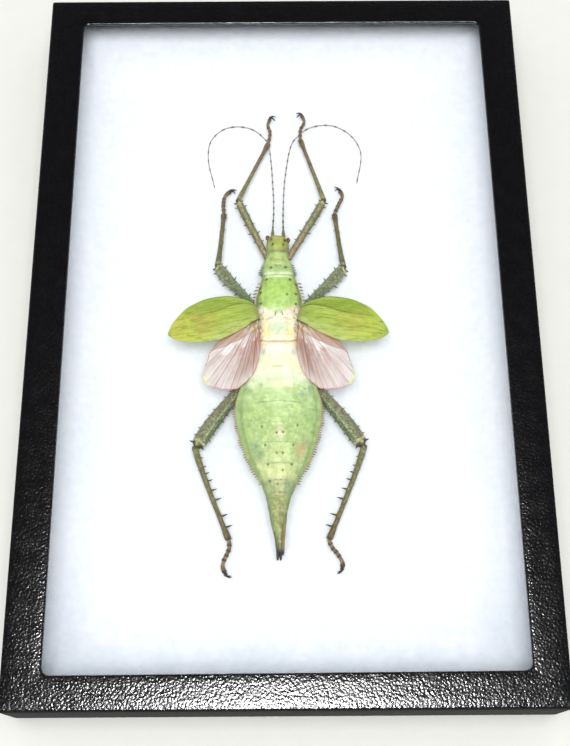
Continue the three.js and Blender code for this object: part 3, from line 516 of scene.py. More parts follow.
def curve_through(points, count):
    """A smooth line through points, as count points an even distance apart."""
    points = np.array(points, float)
    points = np.vstack([2 * points[0] - points[1], points, 2 * points[-1] - points[-2]])
    step = np.linalg.norm(np.diff(points, axis=0), axis=1)[:, None] ** 0.5
    slope = np.diff(points, axis=0) / step
    across = (points[2:] - points[:-2]) / (step[:-1] + step[1:])
    tangent = slope[:-1] - across + slope[1:]
    t = np.linspace(0, 1, 40, endpoint=False)[:, None]
    pieces = [
        (2 * t**3 - 3 * t**2 + 1) * points[i + 1] + (t**3 - 2 * t**2 + t) * step[i + 1] * tangent[i]
        + (3 * t**2 - 2 * t**3) * points[i + 2] + (t**3 - t**2) * step[i + 1] * tangent[i + 1]
        for i in range(len(points) - 3)
    ]
    line = np.vstack([*pieces, points[-2:-1]])
    reach = np.concatenate([[0], np.cumsum(np.linalg.norm(np.diff(line, axis=0), axis=1))])
    return resampled(line, reach, np.linspace(0, reach[-1], count))


def resampled(line, reach, at):
    return np.stack([np.interp(at, reach, line[:, axis]) for axis in range(3)], axis=1)


def bell(value, centre, width):
    """1 at the centre, falling off either side."""
    return np.exp(-(((value - centre) / width) ** 2))


def ramp(value, low, high):
    """0 below low, 1 above high, and smooth between."""
    t = np.clip((value - low) / (high - low), 0, 1)
    return t * t * (3 - 2 * t)


def rumple(points, size, seed=0):
    """Smooth unevenness from -1 to 1, with swells about size millimetres across."""
    total = np.zeros(len(points))
    for octave, (share, turn) in enumerate([(0.55, 0.7), (0.3, 2.1), (0.15, 4.4)]):
        f = 2 * math.pi / (size / 1.9**octave)
        x, y, z = (points * f).T
        s = seed * 1.7 + turn
        total += share * np.sin(x * math.cos(s) + y * math.sin(s) + 1.3 * np.sin(0.61 * y - 0.47 * x + z + s))
        swung = y * math.cos(s * 1.9) - x * math.sin(s * 1.9)
        total += share * np.sin(swung + 1.1 * np.sin(0.53 * x + z - s))
    return total / 2


def ramp_tint(stops, keys):
    """Colours at keys between stops of [key, hex], in linear light."""
    rows = sorted(stops, key=lambda row: row[0])
    at = [row[0] for row in rows]
    colours = np.array([linear(row[1]) for row in rows])
    return np.stack([np.interp(keys, at, colours[:, c]) for c in range(3)], axis=1)


def over(tint, code, amount):
    """A colour laid over a tint, as thickly as amount says for each point."""
    return tint + (linear(code) - tint) * np.clip(amount, 0, 1)[:, None]


def paint(piece, tint, mottled=None):
    """Keeps a colour for each vertex, and how mottled it is there, for the material to read."""
    if mottled is None:
        mottled = np.ones(len(tint))
    layer = piece.data.attributes.new("tint", "FLOAT_COLOR", "POINT")
    layer.data.foreach_set("color", np.column_stack([np.clip(tint, 0, 1), mottled]).ravel())


def joined(name, parts):
    clear_selection()
    for part in parts:
        part.select_set(True)
    bpy.context.view_layer.objects.active = parts[0]
    if len(parts) > 1:
        bpy.ops.object.join()
    parts[0].name = name
    parts[0].data.name = name
    return parts[0]


def outward(piece):
    """Turns every face of every shell outwards."""
    clear_selection()
    piece.select_set(True)
    bpy.context.view_layer.objects.active = piece
    bpy.ops.object.mode_set(mode="EDIT")
    bpy.ops.mesh.select_all(action="SELECT")
    bpy.ops.mesh.normals_make_consistent(inside=False)
    bpy.ops.object.mode_set(mode="OBJECT")


def keep(piece, material, nodes, crease=None):
    """A finished piece: its faces, shading, material, and the solids it stands for."""
    outward(piece)
    if crease is None:
        bpy.ops.object.shade_smooth()
    else:
        bpy.ops.object.shade_smooth_by_angle(angle=math.radians(crease))
    piece.data.materials.clear()
    piece.data.materials.append(MATERIAL[material])
    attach(piece, "root")
    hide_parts(*nodes)
    return piece


def new_thorn():
    """One spine, a unit long and wide, bent a little towards +X; it is copied for every spine."""
    path = np.array([
        [0, 0, -0.25], [0, 0, -0.2], [0, 0, 0.1], [0.03, 0, 0.4], [0.1, 0, 0.75], [0.16, 0, 1.0],
    ])
    widths = np.array([0, 0.8, 1.0, 0.76, 0.42, 0])
    return ringed("thorn", len(path), 8, lambda level, across, up: path[level] + np.column_stack(
        [across * widths[level], up * widths[level], np.zeros(len(level))]), NO_SHIFT)


THORN = new_thorn()
THORN_TIP = "#4A3030"


def thorn(foot, direction, length, width, skin, tip=THORN_TIP):
    """A copy of the spine, standing on a foot point, from the skin's colour to its tip's."""
    piece = THORN.copy()
    piece.data = THORN.data.copy()
    bpy.context.collection.objects.link(piece)
    heights = coordinates(piece)[:, 2] / MM
    turn = Vector(direction).normalized().to_track_quat("Z", "Y").to_matrix().to_4x4()
    place = Matrix.Translation(Vector(np.array(foot) + INSECT_AT) * MM)
    piece.data.transform(place @ turn @ Matrix.Diagonal((width, width, length, 1)))
    base = np.tile(skin, (len(heights), 1))
    paint(piece, over(base, tip, ramp(heights, 0.0, 0.45)))
    return piece


# ---------------------------------------------------------------- the case


def corner_points(width, length, radius, skew=0.0, arc=5):
    """A rounded rectangle's corners as points, each corner moved by a share of the window's skew."""
    turns = [(quarter * 90 + 90 * i / arc) for quarter in range(4) for i in range(arc + 1)]
    signs = [(1, 1), (-1, 1), (-1, -1), (1, -1)]
    points = []
    for index, turn in enumerate(turns):
        quarter = index // (arc + 1)
        sx, sy = signs[quarter]
        angle = math.radians(turn)
        points.append([
            sx * (width / 2 - radius) + radius * math.cos(angle) + skew * WINDOW_SKEW[quarter][0],
            sy * (length / 2 - radius) + radius * math.sin(angle) + skew * WINDOW_SKEW[quarter][1],
        ])
    return np.array(points)


def hoop(name, outlines):
    """A torus whose cross-section goes through outlines: (width, length, corner radius, skew, height)."""
    around = len(corner_points(10, 10, 1))
    clear_selection()
    bpy.ops.mesh.primitive_torus_add(major_segments=around, minor_segments=len(outlines))
    piece = bpy.context.object
    piece.name = name
    points = np.empty((around, len(outlines), 3))
    for j, (width, length, radius, skew, height) in enumerate(outlines):
        points[:, j, :2] = corner_points(width, length, radius, skew)
        points[:, j, 2] = height
    set_coordinates(piece, points.reshape(-1, 3), NO_SHIFT)
    return piece


def rounded(across, height, radius, start, end, steps=5):
    """Points of an arc in the lid's section: how far it is in from the outside, and how high."""
    turns = np.radians(np.linspace(start, end, steps))
    return [(across + radius * math.cos(t), height + radius * math.sin(t)) for t in turns]


def case_lid():
    """The lid: one hoop of wrapped card, its window edge and outer edge turned over softly."""
    edge, lip, corner = 0.9, 0.95, 0.8
    top = CASE["height"]
    band = BEZEL["side"]
    section = [
        (CASE["card"], CASE["skirt_lift"]), (0.25, CASE["skirt_lift"]), (0, CASE["skirt_lift"] + 0.25),
        (0, 8.0), (0, 18.0),
        *rounded(edge, top - edge, edge, 180, 90, 6),
        (band * 0.35, top), (band * 0.7, top),
        *rounded(band - lip, top - lip, lip, 90, -60, 8),
        (band - 1.4, top - BEZEL["thickness"]), (band * 0.5, top - BEZEL["thickness"]),
        (CASE["card"], top - BEZEL["thickness"]),
    ]
    outlines = []
    for inset, height in section:
        share = min(inset / band, 1)
        end_inset = inset if inset <= CASE["card"] else CASE["card"] + (inset - CASE["card"]) * (
            (BEZEL["end"] - CASE["card"]) / (band - CASE["card"]))
        radius = corner + (BEZEL["corner"] - corner) * share
        outlines.append((CASE["width"] - 2 * inset, CASE["length"] - 2 * end_inset, radius, share, height))
    lid = hoop("case_lid_wrapped", outlines)
    keep(lid, "card", ["case_lid"], crease=50)


def batting_height(x, y):
    out = np.maximum(np.abs(x) / (PAD["width"] / 2), np.abs(y) / (PAD["length"] / 2))
    rise = (PAD["high"] - PAD["low"]) * ramp(out, PAD["rim_from"], 1)
    points = np.column_stack([x, y, np.zeros(len(x))])
    quilt = 0.16 * rumple(points, 34, 1) + 0.1 * rumple(points, 9, 2)
    fluff = 0.05 * rumple(points, 3.2, 3)
    return PAD["low"] + rise * (1 + 0.03 * rumple(points, 26, 4)) + quilt + fluff


def case_batting():
    """The batting: a soft low pillow that swells up towards the walls of the tray."""
    clear_selection()
    bpy.ops.mesh.primitive_grid_add(x_subdivisions=130, y_subdivisions=196, size=2)
    piece = bpy.context.object
    bpy.ops.object.mode_set(mode="EDIT")
    bpy.ops.mesh.select_all(action="SELECT")
    bpy.ops.mesh.extrude_region_move(TRANSFORM_OT_translate={"value": (0, 0, -1)})
    bpy.ops.object.mode_set(mode="OBJECT")
    flat = coordinates(piece)
    x = flat[:, 0] * PAD["width"] / 2
    y = flat[:, 1] * PAD["length"] / 2
    top = flat[:, 2] > -0.5
    z = np.where(top, batting_height(x, y), PAD["under"])
    set_coordinates(piece, np.column_stack([x, y, z]), NO_SHIFT)
    joined("case_batting_pillow", [piece])
    # Painted shade: the batting is tinted grey-blue within about 17 mm of the window's edge, where the bezel
    # shades it, and more so towards the front.
    from_case_side = CASE["width"] / 2 - BEZEL["side"] - np.abs(x)
    from_case_end = CASE["length"] / 2 - BEZEL["end"] - np.abs(y)
    inside = np.minimum(from_case_side, from_case_end)
    level_place = np.column_stack([x, y, 0 * x])
    in_from_bezel = inside + 3.5 * rumple(level_place, 30, 6) + 1.2 * rumple(level_place, 7, 7)
    painted_bezel_shade = ramp(-in_from_bezel, -17, -2) * (0.32 + 0.6 * ramp(-y, 85, 140))
    paint(piece, over(np.ones((len(x), 3)), "#E3E7EB", painted_bezel_shade))
    keep(piece, "batting", ["case_batting"])


def case_pins():
    """Four pins pushed in through the sides: a low domed head on a thin shank."""
    for side, side_name in ((-1, "left"), (1, "right")):
        for end, end_name in ((-1, "rear"), (1, "front")):
            face = CASE["width"] / 2 + 0.05
            inner = CASE["width"] / 2 - 2 * CASE["card"] - GAP
            rows = [
                (face + PIN["proud"], 0), (face + PIN["proud"] * 0.96, 0.45),
                (face + PIN["proud"] * 0.8, 0.9),
                (face + PIN["proud"] * 0.35, 1.22), (face + 0.08, PIN["head"]), (face, PIN["head"] * 0.96),
                (face, PIN["shank"]), (inner + 1, PIN["shank"]), (inner, PIN["shank"] * 0.4), (inner, 0),
            ]
            reach = np.array([row[0] for row in rows])
            radius = np.array([row[1] for row in rows])
            centre = np.array([0, end * PIN["along"], PIN["up"]])

            def place(level, across, up):
                return centre + np.column_stack(
                    [side * reach[level], across * radius[level], up * radius[level]])

            name = f"case_pin_{side_name}_{end_name}"
            piece = joined(name + "_turned", [ringed(name + "_part", len(rows), 20, place, NO_SHIFT)])
            keep(piece, "steel", [name], crease=40)


def finish_solid(node, material):
    """A solid whose shape is right already keeps it, and gets its finish."""
    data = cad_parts[node].data
    data.materials.clear()
    data.materials.append(MATERIAL[material])


case_lid()
case_batting()
case_pins()
finish_solid("case_tray", "tray")
finish_solid("case_glass", "glass")

# ---------------------------------------------------------------- head, thorax and abdomen


def body_rows(y):
    """Half width, edge level, top and bottom of the body at each y."""
    half = flowing(ABDOMEN_WIDTHS, y)[:, 0]
    full = np.sqrt(np.clip(half / ABDOMEN["broadest"], 0, 1))
    in_beak = ramp(-y, -BEAK_ROOT, -BLADE_END)
    keel = ABDOMEN["keel"] - 1.3 * in_beak
    top = keel + (ABDOMEN["top"] - ABDOMEN["keel"]) * full * (1 - 0.35 * in_beak)
    bottom = keel - (ABDOMEN["keel"] - ABDOMEN["bottom"]) * full * (1 - 0.4 * in_beak)
    rear = np.column_stack([half, keel, top, bottom])
    front = flowing(FRONT_BODY, y)
    return np.where((y > HIPS)[:, None], front, rear)


def stray(y):
    return flowing(STRAY, y)[:, 0]


def tergite_share(y):
    """How far y is along its own tergite, from its front edge to its rear edge."""
    lines = np.array(TERGITE_LINES)
    index = np.clip(np.searchsorted(-lines, -y, side="right") - 1, 0, len(lines) - 2)
    return np.clip((lines[index] - y) / (lines[index] - lines[index + 1]), 0, 1)


def body_point(y, across, up):
    """A point of the body's skin, from its place along the body and round it."""
    half, edge, top, bottom = body_rows(y).T
    in_abdomen = ramp(-y, -HIPS - 0.2, -HIPS + 0.6)
    sunk = in_abdomen * 0.32 * (1 - ramp(tergite_share(y), 0.0, 0.85)) * ramp(y, -74, -68)
    front = np.clip((NOSE + 0.02 - y) / BROW_CAP, 0, 1)
    rear = np.clip((y - BLADE_END + 0.02) / BLADE_CAP, 0, 1)
    closing = np.sqrt(1 - (1 - front) ** 2) * np.sqrt(1 - (1 - rear) ** 2)
    x = across * (half - 0.5 * sunk) * closing
    back = up > 0
    reach = np.where(back, top - edge - sunk, edge - bottom - 0.4 * sunk) * closing
    z = edge + np.sign(up) * np.abs(up) ** DOME * reach
    lift = np.zeros(len(y))
    # the middle line, faint on the head and thorax and plainer on the abdomen
    lift += 0.16 * bell(x, 0, 0.45) * ramp(-y, -40, -30) * ramp(y, -62, -50)
    # the pronotum's curved furrow and its raised rear rim
    bow = y + 0.03 * x**2
    lift -= 0.22 * bell(bow, 37.2, 0.5) * ramp(-np.abs(x), -5, -3)
    lift += 0.18 * bell(y - 0.02 * x**2, 30.0, 0.6) - 0.2 * bell(y - 0.02 * x**2, 29.1, 0.3)
    lift += 0.14 * bell(y - 0.02 * x**2, 28.4, 0.5)
    # the back of the skull folds over the neck
    neck_line = NECK + 0.05 * x**2
    lift += 0.2 * bell(y, neck_line + 0.55, 0.4) - 0.3 * bell(y, neck_line - 0.15, 0.35)
    # ridges along the mesothorax that carry its spines, and the hollow outside them
    on_meso = ramp(y, 13, 16) * ramp(-y, -29.5, -27)
    ridge = 4.6 + 2.7 * ramp(-y, -29, -22)
    lift += on_meso * (0.32 * bell(np.abs(x), ridge, 0.55) - 0.3 * bell(np.abs(x), ridge + 1.2, 0.7))
    # the saddle of the metathorax: a low shield in its middle, with hollows either side
    on_meta = ramp(y, -1.2, 1) * ramp(-y, -11.8, -10)
    lift += on_meta * (0.22 * bell(np.abs(x), 0, 3) - 0.3 * bell(np.abs(x), 4.2, 0.7))
    lift += on_meta * 0.2 * bell(np.abs(x), 6.4, 1)
    # two low swellings on the crown, and the brow's ridges between the eyes
    crown_swellings = 0.3 * bell(np.abs(x), 2.1, 0.7) * bell(y, 44.2, 1.2)
    brow_ridges = 0.25 * bell(np.abs(x), 2.6, 0.5) * bell(y, 47, 1.0)
    lift += crown_swellings + brow_ridges
    lift -= 0.3 * bell(x, 0, 0.7) * bell(y, 47.6, 1.6)
    # the abdomen's rim, set off by a shallow groove, and soft dents over its back
    side = np.abs(x) / np.maximum(half, 1)
    in_front_of_beak = in_abdomen * ramp(y, -70, -60)
    lift -= in_front_of_beak * 0.35 * bell(side, 0.88, 0.035)
    rough = np.column_stack([x, y, z * 0.3])
    broad = ramp(half, 2, 9)
    wide_waves = broad * in_abdomen * 0.24 * rumple(rough, 6, 5)
    lift += wide_waves + 0.09 * rumple(rough, 2.6, 6) + 0.04 * rumple(rough, 1.2, 7)
    # faint creases run along the abdomen's back and slant over its flanks
    crease = rumple(np.column_stack([x * 1.9, y * 0.42 + x * 0.2, z * 0]), 4.2, 9)
    lift += broad * in_abdomen * 0.12 * crease
    # the ridge of the beak
    lift += 0.12 * bell(x, 0.2, 0.6) * ramp(-y, 71, 75)
    lift = np.where(back, lift, 0.4 * lift) * closing
    z = z + lift * np.where(back, 1, -1) * np.abs(up) ** 0.4
    turned = HEAD_TURNED * ramp(y, NECK, 46.6)
    return np.column_stack([x + stray(y), y - x * turned, np.minimum(z, top + 0.1)])


BACK_TINTS = [
    [49.6, "#6F7440"], [49.1, "#8F9350"], [47.8, "#A7A45C"], [46.2, "#ABAE58"], [44.2, "#A3B058"],
    [42, "#9AA85A"], [41.2, "#8F9A54"], [40.3, "#A9C074"], [38, "#B6C876"], [34.8, "#B5CA7C"],
    [32.4, "#ACC07C"], [30.8, "#B2CC8C"], [28.0, "#AECF70"], [24, "#B3D26E"], [18, "#B9D878"],
    [14.2, "#B8D884"], [12.6, "#D9DFB2"], [11.6, "#EEE9D2"], [5, "#E3EACC"],
    [0, "#EFECD2"], [-1.2, "#E6CDB0"], [-2.0, "#FBF2E0"], [-6, "#F6F4DE"], [-11, "#F4F4D6"],
    [-14, "#F3F3DE"], [-17.5, "#E4EECB"], [-20.6, "#E0EABF"], [-22.5, "#CCDFA4"], [-27.5, "#BCD391"],
    [-33, "#B4CD83"], [-39, "#B4CB80"], [-45, "#BACD8A"], [-51, "#C0CD8E"],
    [-52.8, "#D6DC9C"], [-57, "#DBE0A2"], [-58.6, "#CBD096"], [-59.2, "#B4BE88"], [-63, "#AEB988"],
    [-64.4, "#A6AF72"], [-69.6, "#A2A968"], [-72, "#A0A866"], [-77, "#98A160"], [-81, "#8A9058"],
    [-84.5, "#80835A"], [-86.8, "#6A6A48"], [-87.5, "#4E4A38"],
]
SIDE_TINTS = [
    [49.3, "#7B7848"], [45, "#8A9256"], [41.5, "#7F8A52"], [40, "#98A868"], [37, "#94A866"],
    [33, "#8FA272"], [30.5, "#A2AE8C"], [28.6, "#90A050"], [24, "#7E9444"], [18, "#76924A"],
    [15, "#86A058"], [13, "#D8BC9E"], [5, "#DCC6A0"], [0, "#E4D2B2"], [-2, "#F3DDBE"],
    [-8, "#EFE0C0"], [-14, "#D3DDA8"], [-18, "#A9C882"], [-24, "#A8C080"], [-34, "#A5BB80"],
    [-44, "#A6B878"], [-52, "#A2AE6A"], [-58, "#A0A866"], [-66, "#86945A"], [-72, "#76845A"],
    [-80, "#6E7450"], [-87.5, "#3E3A30"],
]
BODY_LIGHTNESS = [
    [49, 1.08], [40, 1.16], [30, 1.14], [15, 1.14], [5, 1.1],
    [-12, 1.1], [-20, 1.16], [-45, 1.14], [-55, 1.03],
    [-65, 0.96], [-75, 0.86], [-88, 0.8],
]
# Dark specks where spines stand, at [x, y].
HEAD_SPECKS = [[-2.3, 43.9], [2.1, 43.8], [-2.9, 46.4], [2.8, 46.0]]
THORAX_SPINES = [
    [-3.0, 32.7], [3.1, 32.9], [-4.9, 27.4], [4.9, 27.2], [-7.4, 24.4], [7.4, 26.0], [-7.3, 21.5],
    [7.3, 20.65], [-7.2, 16.5], [7.2, 16.1], [3.6, 19.8],
]
SADDLE_STROKES = [[-1.2, 11.35, 0.18], [1.55, 11.6, -0.35]]  # [x, y, lean]
HINGE_PLATES = [[7.5, 13.4, 0.95], [7.3, 10.7, 0.75], [7.7, 8.1, 0.6], [7.4, 5.2, 0.8]]  # [x, y, radius]
ABDOMEN_SPINES = [
    [-6.7, -37.6], [7.3, -37.2], [-0.9, -40.4], [1.6, -40.2], [-5.4, -45.2], [5.7, -45.1], [-0.9, -48.5],
    [1.5, -48.5], [-4.4, -52.9], [5.0, -52.9], [1.4, -55.3], [-3.6, -59.3], [-0.5, -60.6],
]


def streaks(flat, size, stretch, seed):
    """Unevenness drawn out along the body, from 0 to 1."""
    return ramp(rumple(flat * np.array([1, 1 / stretch, 1]), size, seed), -0.45, 0.55)


def head_tint(tint, x, y):
    """An olive head with a yellow crown, brown behind the eyes and round the neck."""
    tint = over(tint, "#BCB468", 0.8 * bell(x, -0.2, 1.9) * bell(y, 46.6, 1.3))
    tint = over(tint, "#C0A878", 0.5 * bell(x, 0.2, 1.1) * bell(y, 47.9, 0.6))
    tint = over(tint, "#B6BE5C", 0.7 * bell(x, -0.4, 1.5) * bell(y, 43.1, 1.2))
    tint = over(tint, "#5E4A2A", 0.75 * bell(x + 2.9, 0, 0.45) * bell(y, 48.1, 0.9))
    brown_streak = bell(y - 46.3 - 0.25 * (x - 2.6), 0, 0.45) * ramp(x, 1.6, 2.6)
    tint = over(tint, "#7A3D22", 0.85 * brown_streak)
    tint = over(tint, "#5F5530", 0.7 * bell(y, 49.1, 0.35) * ramp(-np.abs(x), -3.2, -2.2))
    back_line = NECK + 0.15 + 0.05 * x**2
    tint = over(tint, "#9A5E40", 0.65 * bell(x, 3.4, 1.2) * bell(y, back_line + 0.8, 0.7))
    tint = over(tint, "#6A4A30", 0.7 * bell(y, back_line, 0.3) * ramp(-np.abs(x - 0.3), -3.6, -1.6))
    for px, py in HEAD_SPECKS:
        tint = over(tint, "#3F3A20", 0.85 * bell(np.hypot(x - px, y - py), 0, 0.55))
    return tint


def thorax_tint(tint, x, y, side, cloud, fleck):
    """A green thorax, with cream bands at its waist, olive strips, and a cream-pink edge."""
    # neck and pronotum
    tint = over(tint, "#C9D894", 0.8 * bell(x, 0.1, 1.9) * bell(y, 39.0, 1.5))
    tint = over(tint, "#B99A72", 0.7 * bell(x, 2.0, 0.6) * bell(y, 37.4, 1.0))
    tint = over(tint, "#7F9A50", 0.75 * bell(np.hypot(x + 2.9, (y - 37.3) * 0.8), 0, 0.7))
    tint = over(tint, "#8A9C5C", 0.5 * bell(y + 0.03 * x**2, 36.4, 0.4) * ramp(-np.abs(x), -5, -3))
    tint = over(tint, "#EDF2CA", 0.85 * bell(y - 0.05 * x**2, 34.4, 0.34) * bell(x, 0, 1.5))
    for px in (-0.85, 0.95):
        tint = over(tint, "#4C5A36", 0.85 * bell(x, px, 0.4) * bell(y, 33.45, 0.28))
    for px, py in ((-6.3, 33.8), (-6.9, 31.2), (6.4, 34.0), (6.8, 31.3)):
        tint = over(tint, "#5E6A4A", 0.8 * bell(np.hypot(x - px, (y - py) * 0.8), 0, 0.7))
    # the waist: two cream bands with a green line between them
    bow = y - 0.027 * x**2
    tint = over(tint, "#EDF2D0", 0.8 * bell(bow, 29.85, 0.6) * ramp(-np.abs(x), -7, -4.6))
    tint = over(tint, "#F1F4D6", 0.85 * bell(bow, 28.35, 0.5) * ramp(-np.abs(x), -5.8, -4.4))
    tint = over(tint, "#8FAE66", 0.8 * bell(bow, 29.08, 0.22))
    # mesothorax
    on_meso = ramp(y, 14.0, 16.5) * ramp(-y, -28.2, -26.8)
    strip = 7.0 - 1.6 * ramp(y, 24.5, 28)
    tint = over(tint, "#B6B652", on_meso * 0.75 * bell(np.abs(x), strip, 0.8) * (0.5 + 0.5 * fleck))
    tint = over(tint, "#88A852", on_meso * 0.45 * bell(np.abs(x), 5.4, 0.6))
    tint = over(tint, "#7FAE4E", on_meso * 0.4 * cloud * ramp(-np.abs(x), -5, -4))
    tint = over(tint, "#6B8440", on_meso * 0.75 * bell(side, 0.88, 0.06))
    tint = over(tint, "#F2CDB4", ramp(y, 13.5, 15) * ramp(-y, -29, -27.5) * ramp(side, 0.93, 0.965))
    tint = over(tint, "#E9EFC4", 0.9 * bell(np.hypot((x + 0.4) / 1.7, y - 13.3), 0, 0.62))
    return tint


def saddle_tint(tint, x, y, cloud):
    """The green back narrows into the cream saddle, with pink-cream patches at the wing roots."""
    taper = 8.4 - 1.35 * (17 - y)
    ragged = 0.7 * rumple(np.column_stack([x, y, 0 * x]), 2.4, 64)
    outside = ramp(np.abs(x) - taper + ragged, -0.5, 1.9) * ramp(y, 10.5, 12) * ramp(-y, -16.2, -13.8)
    tint = over(tint, "#F6ECD8", outside)
    tint = over(tint, "#DDAE94", 0.55 * bell(np.abs(x), 8.1, 1.0) * bell(y, 14.2, 1.4) * (0.6 + 0.4 * cloud))
    tint = over(tint, "#EDCB84", 0.8 * bell(np.hypot((x + 6.5) / 1.1, (y - 9.6) / 1.6), 0, 1))
    tint = over(tint, "#E3A876", 0.55 * bell(np.hypot((x - 6.0) / 1.2, (y - 13.2) / 1.6), 0, 1))
    tint = over(tint, "#F5EDBE", 0.7 * bell(np.abs(x), 4.6, 2.2) * ramp(-y, -11, -9))
    tint = over(tint, "#F3E58C", 0.85 * bell(np.hypot((np.abs(x) - 5.0) / 1.5, (y - 3.6) / 2.0), 0, 1))
    tint = over(tint, "#CFE6C4", 0.8 * bell(np.hypot(x / 3.4, (y - 5.4) / 2.6), 0, 0.95))
    tint = over(tint, "#C3CDB4", 0.6 * bell(x, 0.2, 0.5) * bell(y, 3.6, 1.6))
    tint = over(tint, "#FBF8E0", 0.8 * bell(y - 0.02 * x**2, 8.6, 0.8) * ramp(-np.abs(x), -6, -4))
    tint = over(tint, "#C9A183",
                0.7 * bell(y + 0.03 * x**2, 9.9, 0.35) * ramp(-np.abs(np.abs(x) - 3.6), -1.9, -1.2))
    tint = over(tint, "#FAF3D6", 0.6 * bell(y, 0.4, 1.0) * ramp(-np.abs(x), -7.5, -6))
    tint = over(tint, "#D8A282", 0.55 * ramp(np.abs(x), 7.2, 8.4) * ramp(y, -1, 1) * ramp(-y, -12, -10.5))
    tint = over(tint, "#B9D07E",
                0.85 * bell(x, 0, 1.5 + 0.5 * ramp(y, 11.5, 13.5)) * ramp(y, 10.6, 12.6)
                * ramp(-y, -14, -12.5))
    blotch = rumple(np.column_stack([x, y * 0.8, 0 * x]), 3.0, 63)
    on_saddle = ramp(y, -1.4, -0.4) * ramp(-y, -14.5, -12)
    tint = over(tint, "#D9B592", 0.45 * on_saddle * ramp(blotch, 0.15, 0.7))
    tint = over(tint, "#A9B292", 0.35 * on_saddle * ramp(-blotch, 0.2, 0.8) * ramp(-np.abs(x), -5, -3))
    joint = y + 0.9 - 0.026 * x**2 + 0.3 * bell(np.abs(x), 4.6, 1.4)
    tint = over(tint, "#A08560", 0.85 * bell(joint, 0, 0.26) * ramp(-np.abs(x), -8.6, -7.4))
    tint = over(tint, "#7C6A48", 0.6 * bell(joint, 0, 0.2) * bell(np.abs(x), 7.4, 1.4))
    root_rough = ramp(rumple(np.column_stack([x, y * 0.7, 0 * x]), 1.9, 61), 0.0, 0.6)
    by_roots = ramp(np.abs(x), 5.4, 7.0) * ramp(y, 1.0, 3.0) * ramp(-y, -15.5, -14)
    tint = over(tint, "#A3785A", 0.6 * root_rough * by_roots)
    tint = over(tint, "#FBF3DC", 0.6 * (1 - root_rough) * by_roots)
    for px, py, radius in HINGE_PLATES:
        off = np.hypot((np.abs(x) - px) / radius, (y - py) / (radius * 1.25)) + 0.7 * blotch
        tint = over(tint, "#FBF1DA", 0.5 * ramp(-off, -0.95, -0.5))
        tint = over(tint, "#A87C60", 0.55 * bell(off, 1.1, 0.3))
    for px, py, lean in SADDLE_STROKES:
        stroke = bell(x - px - lean * (y - py), 0, 0.26) * ramp(-np.abs(y - py), -1.15, -0.8)
        tint = over(tint, "#54402C", 0.95 * stroke)
    return tint


